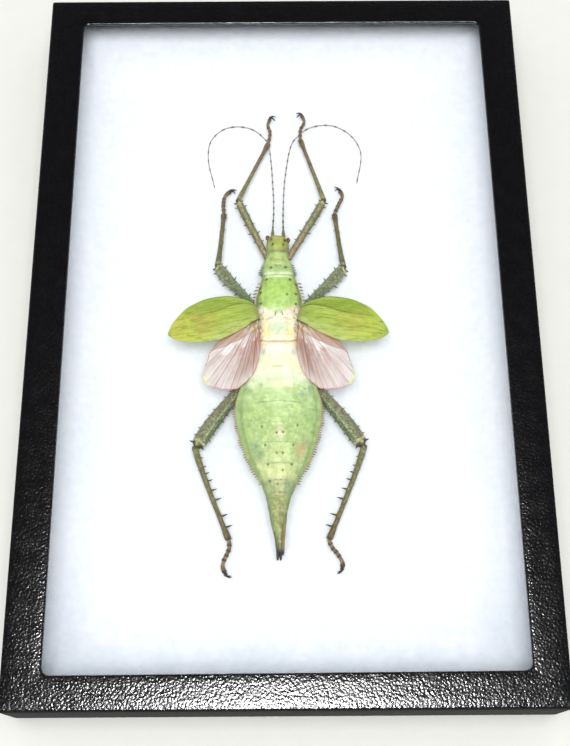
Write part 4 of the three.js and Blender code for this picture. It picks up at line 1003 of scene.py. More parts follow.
def abdomen_tint(tint, x, y, side, flat, cloud, fleck):
    """A green abdomen: cream at its base, grey-green clouds, a yellow middle, and lines between its rings."""
    rear = ramp(-y, 15, 22)
    base = ramp(-y, 1.8, 2.4) * ramp(y, -17, -13)
    tint = over(tint, "#F7DFCF", base * 0.5 * bell(side, 0.86, 0.12))
    tint = over(tint, "#FCEFE6", base * 0.5 * cloud)
    tint = over(tint, "#E4EDBE", base * 0.55 * (1 - cloud) * ramp(-y, 4, 8))
    tint = over(tint, "#9DA57E", 0.5 * bell(np.hypot((np.abs(x) - 6.1) / 1.0, (y + 5) / 1.5), 0, 0.9))
    tint = over(tint, "#B7B46E", 0.9 * bell(y + 12.0, 0, 0.32) * ramp(-np.abs(x + 0.3), -2.6, -1.8))
    tint = over(tint, "#F1ECBE", 0.6 * bell(y + 11.4, 0, 0.5) * ramp(-side, -0.75, -0.4))
    # clouds, flecks and creases
    grain = streaks(flat, 3.0, 2.2, 52)
    tint = over(tint, "#93AC80", rear * 0.6 * cloud * ramp(side, 0.3, 0.75))
    tint = over(tint, "#C9D88E", rear * 0.45 * ramp(rumple(flat * np.array([1, 0.5, 1]), 4.2, 17), 0.0, 0.6))
    tint = over(tint, "#93A486",
                rear * 0.55 * ramp(rumple(flat, 5.2, 14), 0.1, 0.7) * ramp(x / 14, 0.35, 0.8))
    tint = over(tint, "#D3E6A0", rear * 0.6 * fleck * ramp(-side, -0.85, -0.4))
    tint = over(tint, "#97B676", rear * 0.42 * grain * ramp(y, -62, -56))
    tint = over(tint, "#DDEEB8",
                0.75 * bell(x, 0.2, 3.4) * ramp(-y, 20.5, 22.5) * ramp(y, -37, -30) * (0.5 + 0.5 * fleck))
    tint = over(tint, "#F2F3C8", 0.8 * bell(y, -20.9, 0.8) * bell(x, 0.2, 4.6))
    tint = over(tint, "#E6EFC0",
                rear * 0.5 * ramp(rumple(flat, 1.9, 15), 0.35, 0.8) * ramp(-side, -0.9, -0.6))
    tint = over(tint, "#6F8F66", rear * 0.5 * ramp(rumple(flat, 1.6, 16), 0.45, 0.85) * ramp(side, 0.45, 0.8))
    round_marks = (
        (-9.2, -45.5, 1.4, 2.6), (-7.4, -48.8, 1.0, 1.6), (9.5, -24, 2.4, 1.0), (12.6, -22, 1.4, 2),
    )
    for px, py, size_x, size_y in round_marks:
        tint = over(tint, "#7E9884", 0.6 * bell(np.hypot((x - px) / size_x, (y - py) / size_y), 0, 0.9))
    for px, py, long in ((13.2, -30.0, 2.6), (10.4, -21.4, 1.5), (13.0, -39.5, 1.6), (-10.8, -35, 1.2)):
        mark = bell(y + 0.08 * (x - px) - py, 0, 0.2) * ramp(-np.abs(x - px), -long / 2, -long / 2 + 0.5)
        tint = over(tint, "#4F7A4A", 0.8 * mark)
    # pink-cream diamond in the middle, and the yellow tergite behind it
    diamond = ramp(-np.abs(x - 0.3) / 3.2 - np.abs(y + 40) / 6.5 - 0.3 * rumple(flat, 2.2, 65), -1.1, -0.1)
    tint = over(tint, "#EEDFC2", 0.7 * diamond)
    inner = ramp(-np.abs(x - 0.2), -4.6, -3.0) * ramp(-y, 43, 45.5) * ramp(y, -53, -51)
    tint = over(tint, "#D3E09C", 0.6 * inner * (0.6 + 0.4 * fleck))
    tint = over(tint, "#E8EDA6", 0.7 * bell(np.hypot((x - 0.2) / 4.6, (y + 55.6) / 2.6), 0, 0.95))
    tint = over(tint, "#B9C588", 0.45 * cloud * bell(y, -55.5, 2.6) * ramp(side, 0.45, 0.7))
    ragged = 0.34 * rumple(flat, 2.4, 62)
    tint = over(tint, "#CBAC80",
                0.75 * ramp(-np.hypot((x - 8.4) / 2.1, (y + 47.2) / 3.2) - ragged, -1.2, -0.55))
    tint = over(tint, "#C3A07A", 0.4 * bell(x, 10.4, 1.2) * bell(y, -42.5, 4) * cloud)
    tint = over(tint, "#8E8A66", 0.5 * ramp(x / 16, 0.62, 0.9) * ramp(-y, 33, 38) * ramp(y, -56, -50) * fleck)
    # lines where tergites meet
    for line, strength in zip(TERGITE_LINES[2:7], (0.3, 0.8, 0.35, 0.4, 0.4)):
        arc = y + 0.006 * x**2 - line
        tint = over(tint, "#5F8450", strength * bell(arc, 0.0, 0.2) * ramp(-side, -0.62, -0.4))
        tint = over(tint, "#E3EDB6", 0.4 * strength * bell(arc, -0.5, 0.3) * ramp(-side, -0.6, -0.2))
    tint = over(tint, "#F3E9CC",
                0.75 * bell(y + 19.2, 0, 0.9) * ramp(-np.abs(x), -7.5, -3) * (0.5 + 0.5 * cloud))
    for line, reach, code in ((-58.9, 3.2, "#A06A48"), (-63.8, 2.4, "#A85A40"), (-70.0, 2.1, "#8A5A38")):
        gap = 0.55 + 0.45 * np.sign(np.cos(x * 3.1 + line))
        tint = over(tint, code,
                    0.85 * gap * bell(y - line, 0, 0.26) * ramp(-np.abs(x - 0.3), -reach, -reach + 0.8))
        tint = over(tint, "#D9CF9C",
                    0.7 * bell(y - line, -0.7, 0.3) * ramp(-np.abs(x - 0.2), -reach - 0.8, -reach + 0.4))
    tint = over(tint, "#7F927C", 0.6 * bell(np.hypot((x - 3.8) / 1.6, (y + 60.6) / 1.6), 0, 1))
    tint = over(tint, "#B08A58",
                0.55 * bell(x, 0.2, 0.5) * ramp(-y, 65.5, 67.5) * ramp(y, -80, -74) * (0.4 + 0.6 * fleck))
    # the edges: a yellow-tan strip, with painted shade along the groove just inside it
    strip = ramp(-y, 17, 22) * ramp(y, -64, -58)
    tint = over(tint, "#8FA860", 0.5 * strip * bell(side, 0.86, 0.035))
    tint = over(tint, "#C3C07E", 0.8 * strip * ramp(side, 0.93, 0.97) * (0.45 + 0.55 * fleck))
    tint = over(tint, "#A98A68", 0.5 * strip * ramp(side, 0.95, 0.99) * ramp(x, 2, 8))
    tint = over(tint, "#EBA98A", ramp(-y, 2, 5) * ramp(y, -22, -15) * ramp(side, 0.93, 0.99))
    # the beak
    from_right = (1 - side) * flowing(ABDOMEN_WIDTHS, y)[:, 0]
    right = (x > 0.2) * ramp(-y, 72.5, 77)
    tint = over(tint, "#B4925A", 0.85 * right * ramp(-from_right, -1.15, -0.8))
    tint = over(tint, "#6E5C38", 0.7 * right * bell(from_right, 1.2, 0.14))
    tint = over(tint, "#3A342C", ramp(-y, 84.6, 86.4))
    tint = over(tint, "#3A3428", 0.9 * bell(np.hypot(x + 2.1, (y + 79.3) / 1.1), 0, 0.4))
    for px, py in ABDOMEN_SPINES:
        tint = over(tint, "#4A3220", 0.85 * bell(np.hypot(x - px, (y - py) * 0.75), 0, 0.37))
    return tint


def body_tint(points):
    """The body's colours, from the olive head to the dark tip of the beak."""
    x, y, z = points.T
    half, edge = body_rows(y).T[:2]
    side = np.abs(x - stray(y)) / np.maximum(half, 0.6)
    flank = ramp(side, 0.7, 0.95)
    tint = ramp_tint(BACK_TINTS, y) * (1 - flank)[:, None] + ramp_tint(SIDE_TINTS, y) * flank[:, None]
    flat = np.column_stack([x, y, np.zeros(len(x))])
    cloud = ramp(rumple(flat, 8, 11), -0.1, 0.7)
    fleck = ramp(rumple(flat, 3.1, 12), 0.0, 0.7)
    grit = rumple(flat, 1.4, 13)
    tint = over(tint, "#5F7A3E", 0.3 * ramp(grit, 0.3, 0.9) * ramp(y, 10, 14))
    tint = over(tint, "#E4EFB4", 0.3 * ramp(-grit, 0.3, 0.9) * ramp(y, 10, 14) * ramp(-y, -41, -40))
    tint = np.where((y > NECK)[:, None], head_tint(tint, x, y), tint)
    on_thorax = (y > 8) & (y < NECK + 0.6)
    tint = np.where(on_thorax[:, None], thorax_tint(tint, x, y, side, cloud, fleck), tint)
    tint = np.where((np.abs(y - 7.5) < 10)[:, None], saddle_tint(tint, x, y, cloud), tint)
    for px, py in THORAX_SPINES:
        tint = over(tint, "#33371E", 0.95 * bell(np.hypot(x - px, y - py), 0, 0.55))
    tint = np.where((y < HIPS - 0.2)[:, None], abdomen_tint(tint, x, y, side, flat, cloud, fleck), tint)
    # the underside is paler and browner
    tint = over(tint, "#B9B486", 0.45 * ramp(edge - z, 0.5, 3))
    return tint * flowing(BODY_LIGHTNESS, y)


def mottling(points):
    """How mottled the body is: least on the cream saddle and the abdomen's base."""
    y = points[:, 1]
    return 1 - 0.6 * ramp(y, -22, -12) * ramp(-y, -13.5, -11)


def back_foot(x, y):
    """The point of the back at x, y, found by its place round the section."""
    half = body_rows(np.array([y]))[0, 0]
    off = x - stray(np.array([y]))[0]
    across = min(abs(off) / half, 0.999) * math.copysign(1, off)
    return body_point(np.array([y]), np.array([across]), np.array([math.sqrt(1 - across**2)]))[0]


def body_thorns():
    """Every spine of the body: pairs on its back, and rows along its edges."""
    thorns = []
    green, pale = linear("#6F7A44"), linear("#E3C9A8")
    for x, y in THORAX_SPINES[:-1]:
        thorns.append(thorn(back_foot(x, y), (math.copysign(0.35, x), -0.5, 1), 0.9, 0.3, green))
    for x, y in HEAD_SPECKS:
        thorns.append(thorn(back_foot(x, y), (math.copysign(0.35, x), -0.5, 1), 0.7, 0.26, green))
    for x, y in ABDOMEN_SPINES:
        thorns.append(thorn(back_foot(x, y), (0.0, -0.6, 1), 0.6, 0.26, green))

    def along_edge(start, end, count, length, skin, tip=THORN_TIP, width=0.3):
        for i in range(count):
            y = start + (end - start) * (i + 0.5) / count
            half, edge = body_rows(np.array([y]))[0, :2]
            for side in (-1, 1):
                size = length * (0.9 + 0.22 * math.sin(7.3 * i + side))
                foot = (side * (half - 0.12) + stray(np.array([y]))[0], y, edge)
                thorns.append(thorn(foot, (side, -0.25, 0.05), size + 0.25, size * width, skin, tip))

    along_edge(36.5, 31.2, 5, 0.95, linear("#6E7A50"))
    along_edge(28.4, 15.8, 8, 1.75, pale, "#3A2A34", 0.2)
    along_edge(-15, -60, 45, 1.0, linear("#C6B47C"), "#7E6248", 0.33)
    return thorns


def beak():
    """Under the upper blade that the skin ends in: the browner lower blade, and the forked dark points."""
    rows = [[-74, 2.3, 17.0, 17.3, 14.2], [-80, 1.75, 16.6, 16.9, 14.6], [-86.6, 1.35, 16.0, 16.5, 14.9]]
    y_at = np.linspace(-74, -86.8, 50)
    table = flowing(rows, y_at)

    def place(level, across, up):
        half, edge, top, bottom = table[level].T
        cap = np.sqrt(1 - (1 - np.clip((49 - level) / 4, 0, 1)) ** 2) * (level > 0)
        height = np.where(up > 0, top - edge, edge - bottom)
        return np.column_stack([
            LOWER_BLADE_OFF + across * half * cap, y_at[level],
            edge + np.sign(up) * np.abs(up) ** 1.2 * height * cap])

    blade = ringed("beak_lower", 50, 24, place)
    points = coordinates(blade) / MM - INSECT_AT
    blade_tints = [[-74, "#8E9058"], [-79, "#A88F52"], [-84.5, "#9A7A46"], [-86, "#4E3E2A"]]
    paint(blade, ramp_tint(blade_tints, points[:, 1]))
    parts = [blade]
    for x, tip_y, radius in ((-0.75, BEAK_TIP, 0.62), (0.4, BEAK_TIP, 0.62), (1.25, -87.4, 0.6)):
        share = np.linspace(0, 1, 20)
        path = np.column_stack([
            np.full(20, x) + 0.15 * (1 - share), -84.0 + (tip_y + 84.0) * share, 16.6 - 0.6 * share])
        widths = radius * np.sqrt(1 - np.clip(2.2 * share - 1.2, 0, 1) ** 2 * 0.9) * (share > 0) * (share < 1)
        prong = limb("prong", path, widths, 10)
        local = coordinates(prong) / MM - INSECT_AT
        paint(prong, ramp_tint([[-84, "#767250"], [-86.5, "#5A5642"], [-88, "#34302A"]], local[:, 1]))
        parts.append(prong)
    return parts


def mouthparts():
    """Lip, jaws and feeler sockets at the front of the head."""
    parts = []
    for x, y, z, size, stretch, code in (
            (0, 49.0, 15.6, 1.5, (1.2, 0.5, 0.9), "#8C8A4A"),
            (-1.0, 48.6, 14.6, 0.9, (1, 0.8, 1.2), "#5D4A2C"),
            (1.0, 48.6, 14.6, 0.9, (1, 0.8, 1.2), "#5D4A2C"),
            (-2.4, 49.1, 17.3, 0.95, (0.9, 1, 1), "#77743F"),
            (2.2, 48.7, 17.3, 0.95, (0.9, 1, 1), "#77743F")):
        rows = 14
        turn = np.linspace(0, math.pi, rows)

        def place(level, across, up):
            radius = np.where((level == 0) | (level == rows - 1), 0, np.sin(turn[level])) * size
            return np.array([x, y, z]) + np.column_stack([
                across * radius * stretch[0],
                np.cos(turn[level]) * size * stretch[1], up * radius * stretch[2]])

        piece = ringed("mouthpart", rows, 16, place)
        paint(piece, np.tile(linear(code), (len(piece.data.vertices), 1)))
        parts.append(piece)
    for side in (-1, 1):
        palp_stations = [[side * 1.6, 48.4, 14.4], [side * 2.2, 49.6, 13.8], [side * 2.0, 50.2, 13.0]]
        path = curve_through(palp_stations, 14)
        widths = 0.32 * np.minimum(1, np.sqrt(np.minimum(np.arange(14), 13 - np.arange(14)) / 2))
        palp = limb("palp", path, widths, 8)
        paint(palp, np.tile(linear("#94905A"), (len(palp.data.vertices), 1)))
        parts.append(palp)
    return parts


def insect_body():
    """One skin from brow to beak, with its spines."""
    caps_front = NOSE + 0.02 - BROW_CAP * (1 - np.cos(np.linspace(0, math.pi / 2, 8)))
    caps_rear = BLADE_END - 0.02 + BLADE_CAP * (1 - np.cos(np.linspace(math.pi / 2, 0, 6)))
    trunk = np.linspace(caps_front[-1], caps_rear[0], 400)[1:-1]
    levels = np.concatenate([caps_front, trunk, caps_rear])

    def place(level, across, up):
        """The skin's rings, closer set over the back than under the belly."""
        turn = np.arctan2(up, across)
        turn = turn + 0.4 * np.cos(turn)
        return body_point(levels[level], np.cos(turn), np.sin(turn))

    skin = ringed("body_skin", len(levels), 168, place)
    points = coordinates(skin) / MM - INSECT_AT
    paint(skin, body_tint(points), mottling(points))
    body = joined("insect_body", [skin, *body_thorns(), *beak(), *mouthparts()])
    nodes = ["head", "pronotum", "mesothorax", "metathorax", "ovipositor_upper", "ovipositor_lower"]
    keep(body, "body", nodes + [f"abdomen_{i}" for i in range(1, 10)])


def eyes():
    for side, name in ((-1, "eye_left"), (1, "eye_right")):
        centre = np.array([
            side * EYE["x"] - 0.08 - 0.26 * side, EYE["y"] - side * EYE["x"] * HEAD_TURNED, EYE["z"]])
        rows = 28
        turn = np.linspace(0, math.pi, rows)

        def place(level, across, up):
            radius = np.sin(turn[level]) * EYE["radius"]
            return centre + np.column_stack([
                across * radius * EYE["narrow"], np.cos(turn[level]) * EYE["radius"], up * radius])

        piece = joined(name + "_facets", [ringed(name + "_ball", rows, 32, place)])
        keep(piece, "eye", [name])


insect_body()
eyes()

# ---------------------------------------------------------------- legs


def step(start, side, length, heading, level):
    turn = math.radians(heading)
    return np.array([start[0] + side * length * math.sin(turn), start[1] + length * math.cos(turn), level])


def limb_line(side, start, end, shape, bow, early, count):
    """A limb's points and half widths. It bows outwards, most at a share of its length that early moves."""
    share = np.linspace(0, 1, count)
    sideways = unit(np.cross(end - start, [0.0, 0.0, 1.0]))
    outwards = 1 if side * sideways[0] > 0 else -1
    path = start + (end - start) * share[:, None]
    path = path + sideways * (outwards * bow * np.sin(math.pi * share**early))[:, None]
    widths = flowing(shape, share)[:, 0]
    return share, path, widths, sideways * outwards


def close_ends(widths, near, far):
    """Rounds off both ends of a limb over that many of its points."""
    index = np.arange(len(widths))
    start = np.clip(index / near, 0, 1)
    end = np.clip((len(widths) - 1 - index) / far, 0, 1)
    return widths * np.sqrt(1 - (1 - start) ** 2) * np.sqrt(1 - (1 - end) ** 2)


def thorn_row(line, shares, edge, size, lean, tint, stout=0.11):
    """Spines standing out from one edge of a limb; edge is 1 for its outer side."""
    share, path, widths, outwards = line
    along = unit(np.gradient(path, axis=0))
    thorns = []
    for at in shares:
        i = int(round(at * (len(share) - 1)))
        length = size(at) if callable(size) else size * (0.75 + 0.2 * math.sin(31 * at))
        direction = outwards * edge + along[i] * lean
        foot = path[i] + outwards * edge * widths[i] * 0.85
        thorns.append(thorn(
            foot, direction, length + widths[i] * 0.12, 0.16 + length * stout, tint, "#3E2C26"))
    return thorns


def granules(path, size, depth, seed):
    """Relief for a limb: four blunt ridges along it, and granules over them."""
    def relief(level, across, up):
        turn = np.arctan2(up, across)
        spot = np.column_stack([path[level][:, 1], turn * size * 2.2, path[level][:, 0] * 0.7])
        return 1 + 0.05 * np.cos(4 * turn) + depth * rumple(spot, size, seed)
    return relief


def leg(name, side, form, hip_at, femur, tibia, tarsus, claw):
    """One leg: a skin over thigh, shin and foot with their spines, and its claws apart."""
    hip_level, knee_level, ankle_level, claw_level = form["levels"]
    hip = np.array([side * hip_at[0], hip_at[1], hip_level], float)
    knee = step(hip, side, *femur, knee_level)
    ankle = step(knee, side, *tibia, ankle_level)
    foot = [ankle]
    for i, (length, heading) in enumerate(tarsus):
        level = ankle_level + (claw_level - ankle_level) * (i + 1) / len(tarsus)
        foot.append(step(foot[-1], side, length, heading, level))
    parts = []

    size = form["femur"]
    base, swell = size["base"], size["swell"]
    shape = [[0, base * 1.1], [0.05, base], [0.3, base + 0.32 * (swell - base)],
             [0.5, base + 0.62 * (swell - base)],
             [0.8, swell], [0.93, size["knee"]], [1, size["knee"] * 0.55]]
    thigh = limb_line(side, hip, knee, shape, size["bow"], 2, 150)
    share, path, widths, outwards = thigh
    piece = limb(
        "femur", path, close_ends(widths * 0.97, 3, 6), 36, size["flat"], granules(path, 1.1, 0.04, 2))
    local = coordinates(piece) / MM - INSECT_AT
    along = (local - hip) @ unit(knee - hip) / np.linalg.norm(knee - hip)
    out = (local - hip) @ outwards - size["bow"] * np.sin(math.pi * np.clip(along, 0, 1) ** 2)
    out = out / np.interp(along, share, widths)
    tint = ramp_tint([[i / 4, code] for i, code in enumerate(form["femur_tints"])], along)
    grit, coarse = rumple(local, 1.1, 8), rumple(local, 4.0, 18)
    if form is HIND:
        tint = over(tint, "#8C8068", 0.8 * ramp(out, -0.3, 0.15))
        tint = over(tint, "#CBD3B0", 0.8 * bell(out, -0.42, 0.09))
        tint = over(tint, "#6A5A3C", 0.5 * ramp(-out, 0.82, 0.97))
    if form is MIDDLE:
        tint = over(tint, "#A39C7C", 0.6 * ramp(out, 0.35, 0.7) * ramp(along, 0.4, 0.7))
        tint = over(tint, "#C6CAA8", 0.45 * bell(out, -0.55, 0.14))
    if form is FRONT:
        tint = over(tint, "#665A3C", 0.7 * ramp(np.abs(out), 0.45, 0.8))
        tint = over(tint, "#BDAE8C", 0.55 * bell(out, 0.1, 0.22))
    tint = over(tint, "#565843", 0.32 * ramp(grit, 0.15, 0.6))
    tint = over(tint, "#CFD2B0", 0.45 * ramp(-grit, 0.15, 0.6))
    tint = over(tint, "#8C7450", 0.35 * ramp(coarse, 0.2, 0.8))
    tint = over(tint, "#D8D4A0", 0.75 * bell(along, 0.942, 0.01))
    tint = over(tint, "#34281C", 0.85 * ramp(along, 0.95, 0.962))
    tint = over(tint, "#E6DE94", 0.9 * bell(along, 0.968, 0.016) * bell(out, 0.15, 0.26))
    paint(piece, tint * 1.5)
    parts.append(piece)
    spikes = form["femur_spines"]
    skin = linear(form["femur_tints"][3])
    rows = np.linspace(spikes["start"], 0.9, spikes["count"])
    parts += thorn_row(thigh, rows, 1, spikes["size"], 0.35, skin)
    parts += thorn_row(thigh, rows - 0.02, -1, spikes["size"], 0.35, skin)
    parts += thorn_row(thigh, [0.965], 1, spikes["knee"], spikes["knee_lean"], skin, 0.2)
    parts += thorn_row(thigh, [0.965], -1, spikes["knee"] * 0.7, 0.35, skin, 0.2)

    size = form["tibia"]
    start = knee + unit(ankle - knee) * -1.1
    shape = [[0, size["shaft"] * 1.2], [0.1, size["shaft"] * 1.2], [0.3, size["shaft"]],
             [0.82, size["shaft"] * 0.9], [0.96, size["ankle"]], [1, size["ankle"] * 0.9]]
    shin = limb_line(side, start, ankle, shape, size["bow"], 0.6, 130)
    share, path, widths, outwards = shin
    piece = limb("tibia", path, close_ends(widths, 3, 3), 24, 1.0, granules(path, 0.9, 0.035, 4))
    local = coordinates(piece) / MM - INSECT_AT
    along = (local - start) @ unit(ankle - start) / np.linalg.norm(ankle - start)
    tint = ramp_tint([[i / 4, code] for i, code in enumerate(form["tibia_tints"])], along)
    grit = rumple(local, 1.6, 9)
    tint = over(tint, "#4E402C", 0.55 * ramp(grit, 0.1, 0.7))
    tint = over(tint, "#B0A67C", 0.4 * ramp(-grit, 0.3, 0.9))
    tint = over(tint, "#4A3A2C", 0.8 * ramp(-along, -0.045, -0.015))
    tint = over(tint, "#B4AC80", 0.6 * bell(along, 0.075, 0.02))
    tint = over(tint, "#3E2E24", 0.7 * ramp(along, 0.965, 0.99))
    tint = tint * 1.5
    paint(piece, tint)
    parts.append(piece)
    spikes = form["tibia_spines"]
    skin = linear(form["tibia_tints"][2])
    parts += thorn_row(
        shin, spikes["inner"], -1, lambda at: spikes["longest"] * min(1, 0.2 + 1.35 * at), 0.05, skin)
    parts += thorn_row(shin, spikes["outer"], 1, spikes["size"], 0.3, skin)
    parts += thorn_row(shin, [0.985], -1, 0.9, 0.6, skin)

    line = curve_through([foot[0] - unit(foot[1] - foot[0]) * 0.6, *foot[1:]], 200)
    for first, last in zip(TARSUS_JOINTS[:-1], TARSUS_JOINTS[1:]):
        path = line[max(int(first * 199) - 9, 0) : int(last * 199) + 1]
        path = path[:: max(1, len(path) // 18)]
        at = np.linspace(0, 1, len(path))
        widths = form["tarsus"] * (0.7 + 0.42 * at**2)
        piece = limb("tarsus", path, close_ends(widths, 2, 2), 16, 0.9)
        local = coordinates(piece) / MM - INSECT_AT
        along = (local - path[0]) @ unit(path[-1] - path[0]) / np.linalg.norm(path[-1] - path[0])
        tint = ramp_tint([[0, "#9E8A64"], [0.5, "#8E7A54"], [0.82, "#6A5038"], [1, "#382A24"]], along)
        tint = over(tint, "#4A3A2A", 0.45 * ramp(rumple(local, 1.3, 10), 0.1, 0.7)) * 1.4
        paint(piece, tint)
        parts.append(piece)
    skin_piece = joined(name + "_skin", parts)
    keep(skin_piece, "leg", [f"{name}_femur", f"{name}_tibia", f"{name}_tarsus"])

    root, before = foot[-1], foot[-2]
    onward = unit(root - before)
    turn = math.radians(claw)
    aim = np.array([side * math.sin(turn), math.cos(turn), 0])
    size = form["tarsus"]
    rows = 12
    level_turn = np.linspace(0, math.pi, rows)
    pad_centre = root + onward * size * 0.5

    def pad_place(level, across, up):
        radius = np.sin(level_turn[level]) * size * 0.82
        return pad_centre + np.column_stack([
            across * radius, up * radius, np.cos(level_turn[level]) * size * 0.72])

    pad = ringed("pad", rows, 16, pad_place)
    paint(pad, np.tile(linear("#5A4632"), (len(pad.data.vertices), 1)))
    hooks = [pad]
    for fork in (-1, 1):
        crook = root + onward * (1.5 + fork * 0.35) + aim + np.array([0, 0, fork * 0.45])
        tip = root + aim * 2.5 + onward * (0.5 + fork * 0.5) + np.array([0, 0, fork * 0.8 - 0.3])
        t = np.linspace(0, 1, 16)[:, None]
        path = (root + onward * size) * (1 - t) ** 2 + crook * 2 * t * (1 - t) + tip * t**2
        widths = np.interp(t[:, 0], [0, 0.5, 0.9, 1], [0.38, 0.3, 0.12, 0]) * (t[:, 0] > 0)
        hook = limb("hook", path, widths, 10)
        far = np.linalg.norm(coordinates(hook) / MM - INSECT_AT - root, axis=1)
        paint(hook, ramp_tint([[0.6, "#5A4030"], [1.6, "#30221C"], [3, "#1E1614"]], far))
        hooks.append(hook)
    keep(joined(name + "_hooks", hooks), "claw", [f"{name}_claws"])


for row in LEGS:
    leg(*row)

# ---------------------------------------------------------------- feelers


def feeler(name, side, near, far):
    """A feeler: stout base joints that taper into a thread of slim pale joints, which lies on the batting."""
    level = [14.2, 11.2, FEELER["lie_level"]]
    root = np.array([side * 2.35, FEELER["root_y"] - 1.6, FEELER["root_level"]])
    neck = np.array([side * 2.2, FEELER["base_y"] + 0.9, FEELER["root_level"] - 0.8])
    points = [neck, *[[side * out, y, z] for (out, y), z in zip(near, level)]]
    points += [[side * out, y, FEELER["lie_level"]] for out, y in far]
    path = curve_through(points, 900)
    reach = np.linspace(0, np.sum(np.linalg.norm(np.diff(path, axis=0), axis=1)), len(path))
    near_ring = 3.7
    far_ring = 4.6
    ring_counts = [0, reach[-1] * 0.5 / near_ring, reach[-1] * (0.5 / near_ring + 0.5 / far_ring)]
    phase = np.interp(reach, [0, reach[-1] * 0.5, reach[-1]], ring_counts)
    node = ramp(np.abs(phase % 1 - 0.5), 0.3, 0.42)
    widths = np.interp(reach, [0, 14, reach[-1] * 0.5, reach[-1]], [0.32, 0.22, 0.2, 0.16]) * (1 + 0.5 * node)
    thread = limb("thread", path, close_ends(widths, 2, 3), 8)
    local = coordinates(thread) / MM - INSECT_AT
    nearest = np.array([np.argmin(((path - p) ** 2).sum(1)) for p in local])
    feeler_tints = [[0, "#94885E"], [16, "#B8A28A"], [40, "#C2AEA4"], [90, "#A8988C"], [140, "#8C7E76"]]
    tint = ramp_tint(feeler_tints, reach[nearest])
    paint(thread, over(tint, "#443A3A", 0.9 * node[nearest]))
    share = np.linspace(0, 1, 30)[:, None]
    bulge = np.interp(share[:, 0], [0, 0.2, 0.34, 0.38, 0.6, 1], [0.8, 0.85, 0.7, 0.76, 0.62, 0.34])
    base = limb("base", root + (neck - root) * share, close_ends(bulge, 2, 2), 16)
    spot = coordinates(base) / MM - INSECT_AT
    base_tints = [[48, "#6F6C42"], [50.5, "#7F7A4C"], [51, "#5E563A"], [51.6, "#8A8252"], [54, "#94885E"]]
    tint = ramp_tint(base_tints, spot[:, 1])
    paint(base, tint)
    nodes = [f"feeler_{name}_{part}" for part in ("base", "near", "far")]
    keep(joined(f"feeler_{name}_thread", [thread, base]), "feeler", nodes)


for row in FEELERS:
    feeler(*row)

# ---------------------------------------------------------------- wings


def wing_sheet(name, columns, rows, place, thickness):
    """A grid bent into a wing, given its thickness downwards."""
    clear_selection()
    bpy.ops.mesh.primitive_grid_add(x_subdivisions=columns, y_subdivisions=rows, size=2)
    piece = bpy.context.object
    piece.name = name
    piece.data.name = name
    flat = coordinates(piece)
    along = (flat[:, 0] + 1) / 2
    across = flat[:, 1]
    points, tint, extra = place(along, across)
    set_coordinates(piece, points)
    paint(piece, tint)
    if extra is not None:
        layer = piece.data.attributes.new("solid", "FLOAT", "POINT")
        layer.data.foreach_set("value", extra)
    shell = piece.modifiers.new("shell", "SOLIDIFY")
    shell.thickness = thickness * MM
    shell.offset = 0
    bpy.ops.object.modifier_apply(modifier="shell")
    return piece


